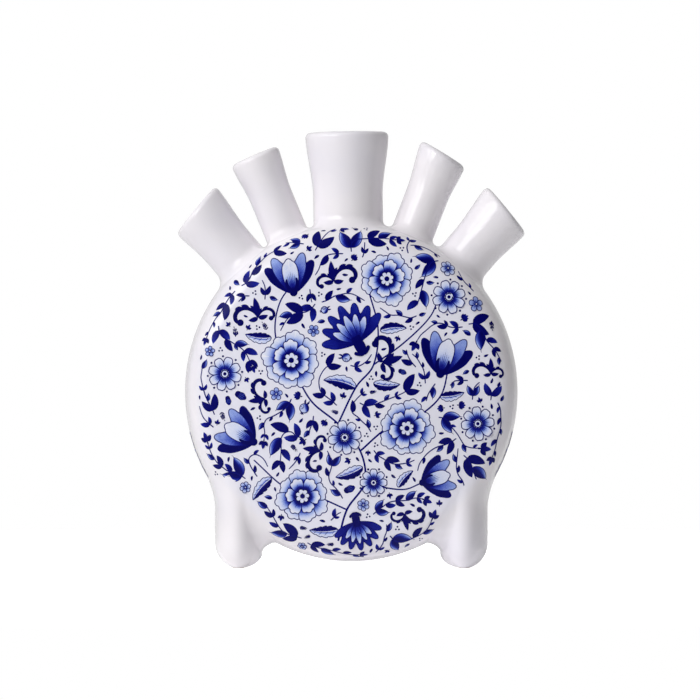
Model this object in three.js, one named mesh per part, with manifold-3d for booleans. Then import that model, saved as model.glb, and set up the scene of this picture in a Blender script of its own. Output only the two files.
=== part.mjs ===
// A tulip vase of white glazed earthenware: a flat round flask that stands on two feet, with a fan of
// five flared spouts on its edge, one flower to a spout. Nine pieces of clay are made apart and luted
// together with slip: two dished half shells, five spouts and two feet. Every piece is hollow and opens
// into the next, so the water stands in the disc and in the feet.
// Millimetres and radians. X is to the right, Y is towards the back and Z is up. The origin is on the
// table, midway between the feet.
import * as THREE from "three";
import { mergeVertices } from "three/addons/utils/BufferGeometryUtils.js";
import Module from "manifold-3d";

// The disc
const discRadius = 75.5; // from its centre sideways to the crown of its edge
const discHalfHeight = 77; // the same upwards, because the disc is slightly oval
const discDepth = 56; // from the front face to the back face, at the centre
const discClearance = 2.7; // from the table to the lowest point of its edge
const discWall = 4;
const domeRadius = 520; // of each face, which swells a little
const edgeRadius = 11; // where a face turns into the edge
const crownRadius = 70; // of the edge, seen in section

// The spouts. Along a spout, rise is from the disc's edge to the top of the lip, and waistLift to where it
// starts to widen.
const centreSpout = { rise: 40.7, waistLift: 11.5, waistWidth: 31.6, rimWidth: 37.8 };
const innerSpout = { rise: 39.1, waistLift: 18.5, waistWidth: 19.4, rimWidth: 22.9 };
const outerSpout = { rise: 32.3, waistLift: 10, waistWidth: 23.8, rimWidth: 27.5 };
const spoutGap = 3; // between neighbours, along the disc's edge
const spoutWall = 3.4; // up to the waist
const lipWall = 4.4; // the wall swells to this at the lip, which is a full round
const spoutBlend = 5; // how far a spout's foot runs out over the disc
const centreDrift = -0.0175; // the middle spout was set by eye, this much off its even place
const innerDrift = -0.011; // and so were the two beside it
const lipTilt = 0.16; // the lips of the spouts at the sides slope down this much more than square
const squareLipTilt = 0.02; // but that of the inner left one is nearly square

// The feet: upright oval cups that narrow to a flat sole
const footSpread = 51.1; // from the middle of the vase to a foot's axis
const footWidth = 21.6; // from side to side
const footSetback = 4.5; // from the middle of the disc's face back to the front of a foot
const footWall = 4;
const soleWidth = 6; // the flat, unglazed strip that a foot stands on
const footRoundHeight = 11; // the height over which a foot narrows to its sole
const footRoundPower = 2; // 2 makes that narrowing an ellipse, less makes it leaner
const footBlend = 9; // how far a foot's top runs out over the disc
const footLeastRound = 7.2; // the narrowing is at least this high, where the disc is near

// The joints
const slipGap = 0.3; // the layer of slip in every joint
const featherEdge = 0.25; // thickness of a blend where it runs out
const leastBlend = 0.8;
const blendHold = 0.6; // how hollow a blend is, from 0 for a straight slope to 1 for a sharp corner

// Facets
const discSegments = 56;
const domeSegments = 3;
const edgeSegments = 5;
const crownSegments = 2;
const spoutSegments = 24;
const lipSegments = 4;
const flareSegments = 3;
const footSegments = 44;
const footRoundSegments = 4;
const blendSegments = 4;
const spoutSeatSegments = 2;
const footSeatSegments = 3;

const wasm = await Module();
wasm.setup();

const discCentreHeight = discHalfHeight + discClearance;
const discStretch = discHalfHeight / discRadius;

// Two dimensions are used in the working planes below, and a point there is a Vector2.
const point = (x, y) => new THREE.Vector2(x, y);

function angleOf(end, centre) {
  return Math.atan2(end.y - centre.y, end.x - centre.x);
}

// Where circles round a and b cross, on the right of the way from a to b.
function meetOfCircles(a, radiusA, b, radiusB) {
  const apart = a.distanceTo(b);
  const along = (apart ** 2 + radiusA ** 2 - radiusB ** 2) / (2 * apart);
  const across = Math.sqrt(radiusA ** 2 - along ** 2);
  const way = b.clone().sub(a).divideScalar(apart);
  return a.clone().addScaledVector(way, along).addScaledVector(point(way.y, -way.x), across);
}

function arcPoints(centre, radius, from, to, count) {
  return Array.from({ length: count + 1 }, (_, i) => {
    const angle = THREE.MathUtils.lerp(from, to, i / count);
    return point(centre.x + radius * Math.cos(angle), centre.y + radius * Math.sin(angle));
  });
}

// Half of the disc's section is three arcs that run smoothly into each other: the dome of the face, the
// turn, and the crown of the edge. x is the distance from the disc's axis, and y the depth from the
// joint between the shells.
const domeCentre = point(0, discDepth / 2 - domeRadius);
const crownCentre = point(discRadius - crownRadius, 0);
const edgeCentre = meetOfCircles(
  domeCentre,
  domeRadius - edgeRadius,
  crownCentre,
  crownRadius - edgeRadius,
);
const domeEnd = angleOf(edgeCentre, domeCentre);
const crownEnd = angleOf(edgeCentre, crownCentre);

// That section, this far inside the outer surface, from the middle of the face to the crown. It stops
// short of the joint by half of the slip in it. It is turned round the disc's axis, and then what it made
// is stretched upwards.
function discSection(inside) {
  const crownStart = Math.asin(slipGap / 2 / (crownRadius - inside));
  const dome = arcPoints(domeCentre, domeRadius - inside, Math.PI / 2, domeEnd, domeSegments);
  const turn = arcPoints(edgeCentre, edgeRadius - inside, domeEnd, crownEnd, edgeSegments);
  const crown = arcPoints(crownCentre, crownRadius - inside, crownEnd, crownStart, crownSegments);
  dome[0].x = 0;
  return [...dome, ...turn.slice(1), ...crown.slice(1)];
}

// How far a point lies outside the disc's outer surface.
function discDistance(fromAxis, depth) {
  const here = point(Math.abs(fromAxis), Math.abs(depth));
  const angle = angleOf(here, edgeCentre);
  if (angle > domeEnd) return here.distanceTo(domeCentre) - domeRadius;
  if (angle < crownEnd) return here.distanceTo(crownCentre) - crownRadius;
  return here.distanceTo(edgeCentre) - edgeRadius;
}

// From the disc's centre to its edge along an axis that leans this much.
function discReach(lean) {
  return 1 / Math.hypot(Math.sin(lean) / discRadius, Math.cos(lean) / discHalfHeight);
}

// A piece that stands on the disc is worked out in half planes round its own axis. In each of them x is
// the distance out from that axis, and y the distance up it from the level of the disc's centre. turn is
// the half plane's angle, lean is that of the axis, and shift is how far the axis misses the centre. This
// gives the distance from the disc's surface, raised by lift, in one half plane.
function surfaceIn({ turn, lean, shift }, lift) {
  const across = Math.cos(turn);
  const deep = Math.sin(turn);
  return (p) => {
    const place = point(shift + p.x * across, p.y).rotateAround(point(0, 0), -lean);
    return discDistance(Math.hypot(place.x, place.y / discStretch), p.x * deep) - lift;
  };
}

// The point of the surface at this distance out.
function surfaceAt(surface, out) {
  let high = 2 * discHalfHeight;
  let low = 0;
  for (let i = 0; i < 40; i++) {
    const middle = (high + low) / 2;
    if (surface(point(out, middle)) > 0) high = middle;
    else low = middle;
  }
  return point(out, high);
}

function normalAt(surface, p) {
  const small = 1e-3;
  return point(
    surface(point(p.x + small, p.y)) - surface(point(p.x - small, p.y)),
    surface(point(p.x, p.y + small)) - surface(point(p.x, p.y - small)),
  ).divideScalar(2 * small);
}

// The way along the surface that leads outwards.
function outwardsAt(surface, p) {
  const normal = normalAt(surface, p);
  return point(normal.y, -normal.x).normalize();
}

// Points along the surface, outwards from one on it and over this length.
function alongSurface(surface, start, length, count) {
  const strides = 8;
  const points = [start];
  const p = start.clone();
  for (let i = 1; i <= count * strides; i++) {
    p.addScaledVector(outwardsAt(surface, p), length / (count * strides));
    const normal = normalAt(surface, p);
    p.addScaledVector(normal, -surface(p) / normal.lengthSq());
    if (i % strides === 0) points.push(p.clone());
  }
  return points;
}

// The hollow curve by which a wall runs out over the disc, and the seat that lies on it, back to the
// bore. wallOut and boreOut are how far out the wall and the bore are. The curve starts climb up the wall
// and ends reach along the disc.
function blendAndSeat({ plane, wallOut, boreOut, climb, reach, hold, seatSegments }) {
  const top = surfaceIn(plane, slipGap + featherEdge);
  const under = surfaceIn(plane, slipGap);
  const corner = surfaceAt(top, wallOut);
  const wallEnd = point(wallOut, corner.y + climb);
  const rim = alongSurface(top, corner, reach, 1).at(-1);
  const curve = new THREE.CubicBezierCurve(
    wallEnd,
    point(wallOut, wallEnd.y - hold * climb),
    rim.clone().addScaledVector(outwardsAt(top, rim), -hold * reach),
    rim,
  );
  const outer = alongSurface(under, surfaceAt(under, wallOut), reach, seatSegments).reverse();
  const inner = Array.from({ length: seatSegments }, (_, i) =>
    surfaceAt(under, THREE.MathUtils.lerp(wallOut, boreOut, (i + 1) / seatSegments)),
  );
  return { blend: curve.getPoints(blendSegments), seat: [...outer, ...inner] };
}

// The directions round an axis that share out the outline of an oval.
function turnsRound(count, across = 1, deep = 1) {
  return Array.from({ length: count }, (_, k) => {
    const even = (2 * Math.PI * k) / count;
    return Math.atan2(deep * Math.sin(even), across * Math.cos(even));
  });
}

// A skin through the sections of a piece, one for each turn round its upright axis, with each of its
// four-sided patches split along the shorter diagonal. A closed section makes a tube, and an open one
// begins and ends on the axis.
function loft(turns, sectionFor, closed = false) {
  const rings = turns.map((turn) =>
    sectionFor(turn).map((p) => new THREE.Vector3(p.x * Math.cos(turn), p.x * Math.sin(turn), p.y)),
  );
  const rows = rings[0].length;
  const index = [];
  for (let k = 0; k < turns.length; k++) {
    const after = (k + 1) % turns.length;
    for (let i = 0; i < (closed ? rows : rows - 1); i++) {
      const j = (i + 1) % rows;
      const [a, b, c, d] = [k * rows + i, k * rows + j, after * rows + j, after * rows + i];
      const split = rings[k][i].distanceTo(rings[after][j]) < rings[k][j].distanceTo(rings[after][i]);
      if (!closed && i === 0) index.push(a, b, c);
      else if (!closed && j === rows - 1) index.push(a, b, d);
      else if (split) index.push(a, b, c, a, c, d);
      else index.push(a, b, d, b, c, d);
    }
  }
  return new THREE.BufferGeometry().setFromPoints(rings.flat()).setIndex(index);
}

// A straight plug through the disc's wall, as wide as a bore and in line with it.
function plug(turns, outFor, from, to) {
  return loft(turns, (turn) => [
    point(0, to),
    point(outFor(turn), to),
    point(outFor(turn), from),
    point(0, from),
  ]);
}

function solidOf(geometry) {
  const bare = geometry.clone();
  bare.deleteAttribute("normal");
  bare.deleteAttribute("uv");
  const merged = mergeVertices(bare, 1e-4);
  return new wasm.Manifold(
    new wasm.Mesh({
      numProp: 3,
      vertProperties: merged.attributes.position.array,
      triVerts: new Uint32Array(merged.index.array),
    }),
  );
}

function geometryOf(solid) {
  const { vertProperties, triVerts } = solid.getMesh();
  const geometry = new THREE.BufferGeometry()
    .setAttribute("position", new THREE.BufferAttribute(vertProperties, 3))
    .setIndex(new THREE.BufferAttribute(triVerts, 1));
  geometry.computeVertexNormals();
  return geometry;
}

const glaze = new THREE.MeshStandardMaterial({ color: 0xece8ea, roughness: 0.12, metalness: 0 });

function pieceOf(name, geometry) {
  const piece = new THREE.Mesh(geometry, glaze.clone());
  piece.name = name;
  return piece;
}

// The spouts stand side by side round the disc's edge, outwards from the one in the middle.
const halfAngle = (spout) => Math.asin(spout.waistWidth / 2 / discRadius);
const gapAngle = spoutGap / discRadius;
const innerLean = halfAngle(centreSpout) + gapAngle + halfAngle(innerSpout);
const outerLean = innerLean + halfAngle(innerSpout) + gapAngle + halfAngle(outerSpout);
const spouts = [
  { name: "spout_outer_left", lean: -outerLean, tilt: -lipTilt, ...outerSpout },
  { name: "spout_inner_left", lean: innerDrift - innerLean, tilt: -squareLipTilt, ...innerSpout },
  { name: "spout_centre", lean: centreDrift, tilt: 0, ...centreSpout },
  { name: "spout_inner_right", lean: innerDrift + innerLean, tilt: lipTilt, ...innerSpout },
  { name: "spout_outer_right", lean: outerLean, tilt: lipTilt, ...outerSpout },
];
for (const spout of spouts) spout.foot = discReach(spout.lean);

// The angle from a spout's axis to the middle of the gap beside it, to the left or to the right.
function gapFrom(spout, sideways) {
  const neighbour = spouts[spouts.indexOf(spout) + (sideways < 0 ? -1 : 1)];
  if (!neighbour) return Math.PI / 2;
  return (Math.abs(neighbour.lean - spout.lean) + halfAngle(spout) - halfAngle(neighbour)) / 2;
}

// The outside of a spout: straight up to the waist, and then widening to the lip along an easy S.
function spoutRadius(spout, height) {
  const waist = spout.foot + spout.waistLift;
  const share = THREE.MathUtils.smoothstep(height, waist, spout.foot + spout.rise);
  return THREE.MathUtils.lerp(spout.waistWidth, spout.rimWidth, share) / 2;
}

// How far a spout's blend runs out from its wall, which meets the disc at corner. It stops halfway to a
// neighbour's wall.
function spoutReach(spout, turn, corner) {
  const sideways = Math.cos(turn);
  const fromCentre = Math.hypot(corner.x * sideways, corner.y);
  const room = fromCentre * Math.sin(gapFrom(spout, sideways)) - slipGap / 2;
  const free = room / Math.max(Math.abs(sideways), 1e-6) - spout.waistWidth / 2;
  return Math.min(spoutBlend, free);
}

function spoutSection(spout, turn) {
  const wallOut = spout.waistWidth / 2;
  const boreOut = wallOut - spoutWall;
  const plane = { turn, lean: spout.lean, shift: 0 };
  const corner = surfaceAt(surfaceIn(plane, slipGap + featherEdge), wallOut);
  const reach = spoutReach(spout, turn, corner);
  const { blend, seat } = blendAndSeat({
    plane,
    wallOut,
    boreOut,
    climb: reach,
    reach,
    hold: blendHold,
    seatSegments: spoutSeatSegments,
  });
  const waist = spout.foot + spout.waistLift;
  const lipHeight = spout.foot + spout.rise - lipWall / 2;
  const lipCentre = point(spoutRadius(spout, lipHeight) - lipWall / 2, lipHeight);
  const heights = Array.from({ length: flareSegments }, (_, i) =>
    THREE.MathUtils.lerp(waist, lipHeight, i / flareSegments),
  );
  const wallAt = (height) => THREE.MathUtils.mapLinear(height, waist, lipHeight, spoutWall, lipWall);
  const mouth = [
    ...heights.map((height) => point(spoutRadius(spout, height) - wallAt(height), height)),
    ...arcPoints(lipCentre, lipWall / 2, Math.PI, 0, lipSegments),
    ...heights.reverse().map((height) => point(spoutRadius(spout, height), height)),
  ];
  // Above the waist the heights grow or shrink with the way across, and that tilts the lip.
  for (const p of mouth) {
    const share = (p.y - waist) / (lipHeight - waist);
    p.y -= share * p.x * Math.cos(turn) * Math.tan(spout.tilt);
  }
  return [...mouth, ...blend, ...seat];
}

const spoutTurns = turnsRound(spoutSegments);

function makeSpout(spout) {
  const skin = loft(spoutTurns, (turn) => spoutSection(spout, turn), true);
  const piece = pieceOf(spout.name, geometryOf(solidOf(skin)));
  piece.rotation.y = spout.lean;
  return piece;
}

// A foot hangs from the disc, so its axis points down and its heights are measured from the sole.
const footLevel = (height) => discCentreHeight - height;

// Half the sizes of a foot's widest outline, which is an oval.
const footAcross = footWidth / 2;
const footDeep = discDepth / 2 - footSetback;
const footTurns = turnsRound(footSegments, footAcross, footDeep);

// From a foot's axis to an oval that lies this far inside that one.
function footOval(turn, inset) {
  const across = footAcross - inset;
  const deep = footDeep - inset;
  return 1 / Math.hypot(Math.cos(turn) / across, Math.sin(turn) / deep);
}

// The rounded end of a foot, or with a wall that of its hollow: from the flat at its bottom up to its
// full width.
function footRound(turn, wall, bottom, top) {
  const lowest = 1 - (1 - (soleWidth / footWidth) ** footRoundPower) ** (1 / footRoundPower);
  return Array.from({ length: footRoundSegments + 1 }, (_, i) => {
    const share = 1 - Math.cos(((i / footRoundSegments) * Math.PI) / 2);
    const below = (1 - lowest) * (1 - share);
    const narrowing = 1 - (1 - below ** footRoundPower) ** (1 / footRoundPower);
    const out = footOval(turn, wall + (footAcross - wall) * narrowing);
    return point(out, footLevel(THREE.MathUtils.lerp(bottom, top, share)));
  });
}

function footSection(turn, shift) {
  const wallOut = footOval(turn, 0);
  const plane = { turn, lean: 0, shift };
  const corner = surfaceAt(surfaceIn(plane, slipGap + featherEdge), wallOut);
  const room = footLevel(footLeastRound) - corner.y;
  const climb = Math.max(leastBlend, Math.min(footBlend, room));
  const { blend, seat } = blendAndSeat({
    plane,
    wallOut,
    boreOut: footOval(turn, footWall),
    climb,
    reach: climb,
    hold: blendHold * THREE.MathUtils.clamp(room / (2 * footBlend), 0, 1),
    seatSegments: footSeatSegments,
  });
  const roundUpTo = (level) => Math.min(footRoundHeight, footLevel(level) - leastBlend / 2);
  return [
    point(0, footLevel(0)),
    ...footRound(turn, 0, 0, roundUpTo(blend[0].y)),
    ...blend,
    ...seat,
    ...footRound(turn, footWall, footWall, roundUpTo(seat.at(-1).y)).reverse(),
    point(0, footLevel(footWall)),
  ];
}

function makeFoot(name, shift) {
  const skin = loft(footTurns, (turn) => footSection(turn, shift));
  const piece = pieceOf(name, geometryOf(solidOf(skin)));
  piece.rotation.y = Math.PI;
  piece.position.x = -shift;
  return piece;
}

// The bores that all pieces share, as plugs round the disc's centre.
function makePlugs() {
  const spoutPlugs = spouts.map((spout) => {
    const out = spout.waistWidth / 2 - spoutWall;
    const innerEnd = spout.foot - 3 * discWall;
    return plug(spoutTurns, () => out, innerEnd, spout.foot + discWall).rotateY(spout.lean);
  });
  const footPlugs = [footSpread, -footSpread].map((shift) =>
    plug(footTurns, (turn) => footOval(turn, footWall), edgeRadius, discCentreHeight)
      .rotateY(Math.PI)
      .translate(-shift, 0, 0),
  );
  return [...spoutPlugs, ...footPlugs].map(solidOf);
}

// One half of the disc. side is -1 for the front and 1 for the back.
function makeShell(name, side, plugs) {
  const outside = discSection(0).reverse();
  const inside = discSection(discWall);
  const profile = [...inside, ...outside].map((p) => point(p.x, side * p.y));
  if (side < 0) profile.reverse();
  const blank = solidOf(new THREE.LatheGeometry(profile, discSegments).scale(1, 1, discStretch));
  return pieceOf(name, geometryOf(plugs.reduce((shell, cutter) => shell.subtract(cutter), blank)));
}

const plugs = makePlugs();
const vase = new THREE.Group();
vase.add(makeShell("shell_front", -1, plugs));
vase.add(makeShell("shell_back", 1, plugs));
for (const spout of spouts) vase.add(makeSpout(spout));
vase.add(makeFoot("foot_left", footSpread));
vase.add(makeFoot("foot_right", -footSpread));
vase.position.z = discCentreHeight;

const part = new THREE.Group();
part.add(vase);

export default part;
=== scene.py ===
# %% [markdown]
# # A tulip vase in white and blue glaze
#
# The vase is a flat round flask on two feet, with a fan of five flared spouts on its edge, one flower
# to a spout. It is earthenware: pale clay under a white glaze, with blue painting on both faces.
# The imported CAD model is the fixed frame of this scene. It has the real sizes of all nine pieces, in
# facets. Here each piece is made again with a fine, smooth skin that fills the same space, and then it
# gets its glaze. The vase is worked out in millimetres, because a potter thinks in those. Its meshes are
# in Blender's metres, and so are the camera, the table, the lamps and the shaders.

# %% The frame
from math import asin, atan2, cos, degrees, hypot, pi, radians, sin, sqrt, tan, tau

import bpy
import numpy as np
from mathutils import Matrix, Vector


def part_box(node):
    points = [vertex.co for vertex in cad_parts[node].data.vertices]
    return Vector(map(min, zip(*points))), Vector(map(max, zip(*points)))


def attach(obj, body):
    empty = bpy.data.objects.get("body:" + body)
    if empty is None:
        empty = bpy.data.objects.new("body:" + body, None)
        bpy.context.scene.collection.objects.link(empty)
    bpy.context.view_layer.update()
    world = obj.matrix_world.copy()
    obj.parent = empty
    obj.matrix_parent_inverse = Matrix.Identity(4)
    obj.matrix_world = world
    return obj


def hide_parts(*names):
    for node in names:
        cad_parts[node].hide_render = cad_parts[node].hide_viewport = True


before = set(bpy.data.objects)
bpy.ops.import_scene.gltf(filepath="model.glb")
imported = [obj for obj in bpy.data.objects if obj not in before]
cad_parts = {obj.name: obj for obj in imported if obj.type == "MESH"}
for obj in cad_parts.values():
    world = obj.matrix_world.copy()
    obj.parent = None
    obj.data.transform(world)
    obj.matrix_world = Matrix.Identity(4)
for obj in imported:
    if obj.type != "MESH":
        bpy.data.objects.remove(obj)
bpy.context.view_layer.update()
MM = 0.001               # a millimetre in metres
print("nodes", sorted(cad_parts))

# %% [markdown]
# ## Camera
# The photograph was taken from straight in front with a very long lens: the lips are almost straight
# lines, and nothing of the inside shows. A long way off and a narrow view do the same here. The height
# of the camera is that of the middle of the vase. Everything that is made in Blender has to be linked to
# the scene before it shows, so a helper does both.

# %% Camera
view_distance = 2.60     # metres
view_width = 0.318       # metres of the vase's own plane that the picture holds
view_right = -0.0006     # metres from the vase's middle to that of the picture
view_height = 0.0986     # metres above the table
sensor_width = 36        # the camera's own millimetres


def add_object(name, data):
    """A new object in the scene, with this mesh, lamp or lens."""
    thing = bpy.data.objects.new(name, data)
    bpy.context.scene.collection.objects.link(thing)
    return thing


lens = bpy.data.cameras.new("studio_camera")
lens.sensor_width = sensor_width
lens.lens = sensor_width * view_distance / view_width
camera = add_object("studio_camera", lens)
camera.location = (view_right, -view_distance, view_height)
camera.rotation_euler = (pi / 2, 0, 0)
bpy.context.scene.camera = camera
print("focal length", round(lens.lens, 1))

# %% [markdown]
# ## The section of the disc
# A potter's template for the flask would be half of its section: a face that swells a little, a tight
# turn, and the gentle crown of the edge. Three arcs that run smoothly into each other draw it. The vase
# isn't quite round: turned about its axis, that section is then stretched upwards a little. The radius,
# the depth and the height of the centre are read from the frame, and the rest is as in the CAD model.

# %% The section of the disc
shell_low, shell_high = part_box("shell_front")
disc_radius = shell_high.x / MM
paint_height = 0.12      # room for the paint in the middle of a face, so the clay is that much thinner
disc_depth = 2 * (-shell_low.y / MM - paint_height)
disc_half_height = 77    # a little more than the radius, as in the photograph
disc_stretch = disc_half_height / disc_radius
disc_centre_height = disc_half_height + shell_low.z / MM
disc_wall = 4
dome_radius = 520        # of the arc across a face
edge_radius = 11         # of the turn from the face to the edge
crown_radius = 70        # of the arc across the edge

dome_centre = np.array([0, disc_depth / 2 - dome_radius])
crown_centre = np.array([disc_radius - crown_radius, 0])


def meet_of_circles(a, radius_a, b, radius_b):
    """Where circles round a and b cross, on the right of the way from a to b."""
    apart = np.hypot(*(b - a))
    along = (apart**2 + radius_a**2 - radius_b**2) / (2 * apart)
    across = np.sqrt(radius_a**2 - along**2)
    way = (b - a) / apart
    return a + way * along + np.array([way[1], -way[0]]) * across


def angle_of(end, centre):
    """The angle of the line from a centre to an end."""
    return atan2(end[1] - centre[1], end[0] - centre[0])


inner_dome, inner_crown = dome_radius - edge_radius, crown_radius - edge_radius
edge_centre = meet_of_circles(dome_centre, inner_dome, crown_centre, inner_crown)
dome_end = angle_of(edge_centre, dome_centre)
crown_end = angle_of(edge_centre, crown_centre)
print("disc", round(disc_radius, 2), "deep", round(disc_depth, 2), "with its centre at",
      round(disc_centre_height, 2))

# %% [markdown]
# ## Two ways to find the skin of the disc
# The spouts and the feet have to lie on the disc, so they ask how far a point is outside it. The
# painting has to lie on the disc too, but a painter measures along the skin. So the second function
# takes a length along the section, from the middle of a face outwards, and says where that is and which
# way the skin looks there. Past the crown it goes on over the other half.

# %% The skin of the disc
def disc_distance(from_axis, depth):
    """How far points lie outside the disc."""
    x, y = np.abs(from_axis), np.abs(depth)
    angle = np.arctan2(y - edge_centre[1], x - edge_centre[0])
    dome = np.hypot(x - dome_centre[0], y - dome_centre[1]) - dome_radius
    turn = np.hypot(x - edge_centre[0], y - edge_centre[1]) - edge_radius
    crown = np.hypot(x - crown_centre[0], y - crown_centre[1]) - crown_radius
    return np.where(angle > dome_end, dome, np.where(angle < crown_end, crown, turn))


dome_length = dome_radius * (pi / 2 - dome_end)
turn_length = edge_radius * (dome_end - crown_end)
crown_length = crown_radius * crown_end
half_length = dome_length + turn_length + crown_length


def along_section(run, lift):
    """Distance from the axis and depth, at these lengths from the middle of a face, lift above the skin."""
    past = run > half_length
    run = np.where(past, 2 * half_length - run, run)
    angle = pi / 2 - np.minimum(run, dome_length) / dome_radius
    angle = angle - np.clip(run - dome_length, 0, turn_length) / edge_radius
    angle = angle - np.clip(run - dome_length - turn_length, 0, None) / crown_radius
    on_dome = run <= dome_length
    on_crown = run > dome_length + turn_length
    centre_x = np.where(on_dome, dome_centre[0], np.where(on_crown, crown_centre[0], edge_centre[0]))
    centre_y = np.where(on_dome, dome_centre[1], np.where(on_crown, crown_centre[1], edge_centre[1]))
    radius = np.where(on_dome, dome_radius, np.where(on_crown, crown_radius, edge_radius)) + lift
    depth = centre_y + radius * np.sin(angle)
    return centre_x + radius * np.cos(angle), np.where(past, -depth, depth)


print("along the section: face", round(dome_length, 1), "turn", round(turn_length, 1), "crown",
      round(crown_length, 1))

# %% [markdown]
# ## From points to pieces
# All the clay pieces are skins through rings of points, as a lofted surface is in a CAD program. A
# closed ring makes a tube, and an open one begins and ends on the axis of the piece. The faces are
# smooth, and an edge sharper than the given angle stays crisp. Each finished piece rides on the body of
# the frame that it belongs to and takes the place of its CAD node.

# %% From points to pieces
crisp_angle = radians(35)     # faces that meet at more than this keep a crisp edge
body = "root"                 # the one body of the vase


def shade_smoothly(mesh):
    """Smooth faces, but for the crisp edges."""
    mesh.shade_smooth()
    mesh.set_sharp_from_angle(angle=crisp_angle)


def mesh_from(name, points, faces):
    """A smooth mesh from points in millimetres."""
    mesh = bpy.data.meshes.new(name)
    mesh.from_pydata((np.asarray(points) * MM).tolist(), [], faces)
    mesh.update()
    shade_smoothly(mesh)
    return mesh


def loft(rings, closed):
    """Points and faces of a skin through rings, which are an array of ring, place on it and x, y, z."""
    count, rows = rings.shape[:2]
    index = np.arange(count * rows).reshape(count, rows)
    if not closed:
        index[:, 0] = index[0, 0]
        index[:, -1] = index[0, -1]
    after = np.roll(index, -1, axis=0)
    last = rows if closed else rows - 1
    faces = []
    for i in range(last):
        j = (i + 1) % rows
        for corners in zip(index[:, i], index[:, j], after[:, j], after[:, i]):
            faces.append(list(dict.fromkeys(int(corner) for corner in corners)))
    used, compact = np.unique(np.concatenate(faces), return_inverse=True)
    ends = np.cumsum([len(face) for face in faces])[:-1]
    return rings.reshape(-1, 3)[used], [part.tolist() for part in np.split(compact, ends)]


def add_piece(name, mesh, node):
    """A piece of the vase, on its body and in place of its node."""
    piece = add_object(name, mesh)
    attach(piece, body)
    if node:
        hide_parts(node)
    return piece


print("edges stay crisp from", round(degrees(crisp_angle)), "degrees on")

# %% [markdown]
# ## Walls that stand on the disc
# A spout or a foot is luted to the disc with slip. A boolean union would leave a hard line there, so each
# piece is worked out in half planes round its own axis instead, where x is the distance out from that
# axis and y the height up it from the level of the disc's centre. In every half plane the skin of the disc
# is one curve, and the little class below finds points on it: by halving for a given distance out, and by
# short strides for a given length along the skin.

# %% Walls that stand on the disc
halvings = 44         # in the search for the height of the skin
strides = 24          # in a walk along the skin
small_step = 1e-3     # for the slope of the skin


class Standing:
    """The half planes round an axis that leans and misses the disc's centre by shift, one for each turn."""

    def __init__(self, turns, lean=0.0, shift=0.0):
        self.turns = turns
        self.lean = lean
        self.shift = shift

    def distance(self, point, lift):
        """How far a point lies outside the skin, which is raised by lift."""
        out, up = point
        across = self.shift + out * np.cos(self.turns)
        x = across * cos(self.lean) + up * sin(self.lean)
        z = up * cos(self.lean) - across * sin(self.lean)
        return disc_distance(np.hypot(x, z / disc_stretch), out * np.sin(self.turns)) - lift

    def at(self, out, lift):
        """The points of the raised skin at this distance out."""
        out = np.broadcast_to(out, self.turns.shape).astype(float)
        low = np.zeros_like(out)
        high = np.full_like(out, 2 * disc_half_height)
        for _ in range(halvings):
            middle = (low + high) / 2
            outside = self.distance((out, middle), lift) > 0
            high = np.where(outside, middle, high)
            low = np.where(outside, low, middle)
        return np.stack([out, high])

    def normal(self, point, lift):
        """The way straight out of the skin."""
        out, up = point
        across = self.distance((out + small_step, up), lift) - self.distance((out - small_step, up), lift)
        upward = self.distance((out, up + small_step), lift) - self.distance((out, up - small_step), lift)
        return np.stack([across, upward]) / (2 * small_step)

    def outwards(self, point, lift):
        """The way along the skin, away from the axis."""
        normal = self.normal(point, lift)
        return np.stack([normal[1], -normal[0]]) / np.hypot(*normal)

    def along(self, start, lift, length):
        """The points that lie this far along the skin, outwards from start."""
        point = start.copy()
        for _ in range(strides):
            point = point + self.outwards(point, lift) * length / strides
            normal = self.normal(point, lift)
            point = point - normal * self.distance(point, lift) / (normal**2).sum(0)
        return point


upright = Standing(np.array([0.0]))
print("an upright axis at the middle meets the disc at", upright.at(0, 0)[1].round(2))

# %% [markdown]
# The potter's thumb runs the slip out into a hollow curve. So the wall comes down straight, a Bezier curve
# takes it over into the skin of the disc, and the seat lies just inside that skin. The curve starts climb
# up the wall and ends reach along the skin, so the glaze runs over the joint unbroken.

# %% The blend at a root
def bezier(points, count):
    """Points along a cubic curve, without its first."""
    a, b, c, d = points
    t = np.linspace(0, 1, count + 1)[1:, None, None]
    return (1 - t) ** 3 * a + 3 * (1 - t) ** 2 * t * b + 3 * (1 - t) * t**2 * c + t**3 * d


seat_depth = 0.15               # how far a seat lies inside the skin
seat_under_blend = (0.92, 0.5)  # where its rings lie, as shares of the reach
seat_under_wall = (0, 0.5, 1)   # and from the outside of the wall to the bore
blend_steps = 18
blend_hold = 0.6                # how hollow a blend is: 0 for a straight slope, 1 for a sharp corner


def blend_and_seat(standing, wall_out, bore_out, climb, reach, hold=blend_hold):
    """The end of the straight wall, the curve that runs out over the disc, and the seat back to the bore."""
    corner = standing.at(wall_out, 0)
    wall_end = np.stack([corner[0], corner[1] + climb])
    rim = standing.along(corner, 0, reach)
    above = np.stack([corner[0], corner[1] + (1 - hold) * climb])
    before = rim - standing.outwards(rim, 0) * hold * reach
    curve = bezier([wall_end, above, before, rim], blend_steps)
    seat = [standing.along(corner, -seat_depth, reach * share) for share in seat_under_blend]
    for share in seat_under_wall:
        seat.append(standing.at(wall_out + (bore_out - wall_out) * share, -seat_depth))
    return [wall_end, *curve], seat


def rings_of(standing, section):
    """Rings of points round an upright axis, from the rows of a section that each hold out and up."""
    rows = np.stack(section)
    out, up = rows[:, 0].T, rows[:, 1].T
    turns = standing.turns[:, None]
    return np.stack([out * np.cos(turns), out * np.sin(turns), up], axis=-1)


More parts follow.
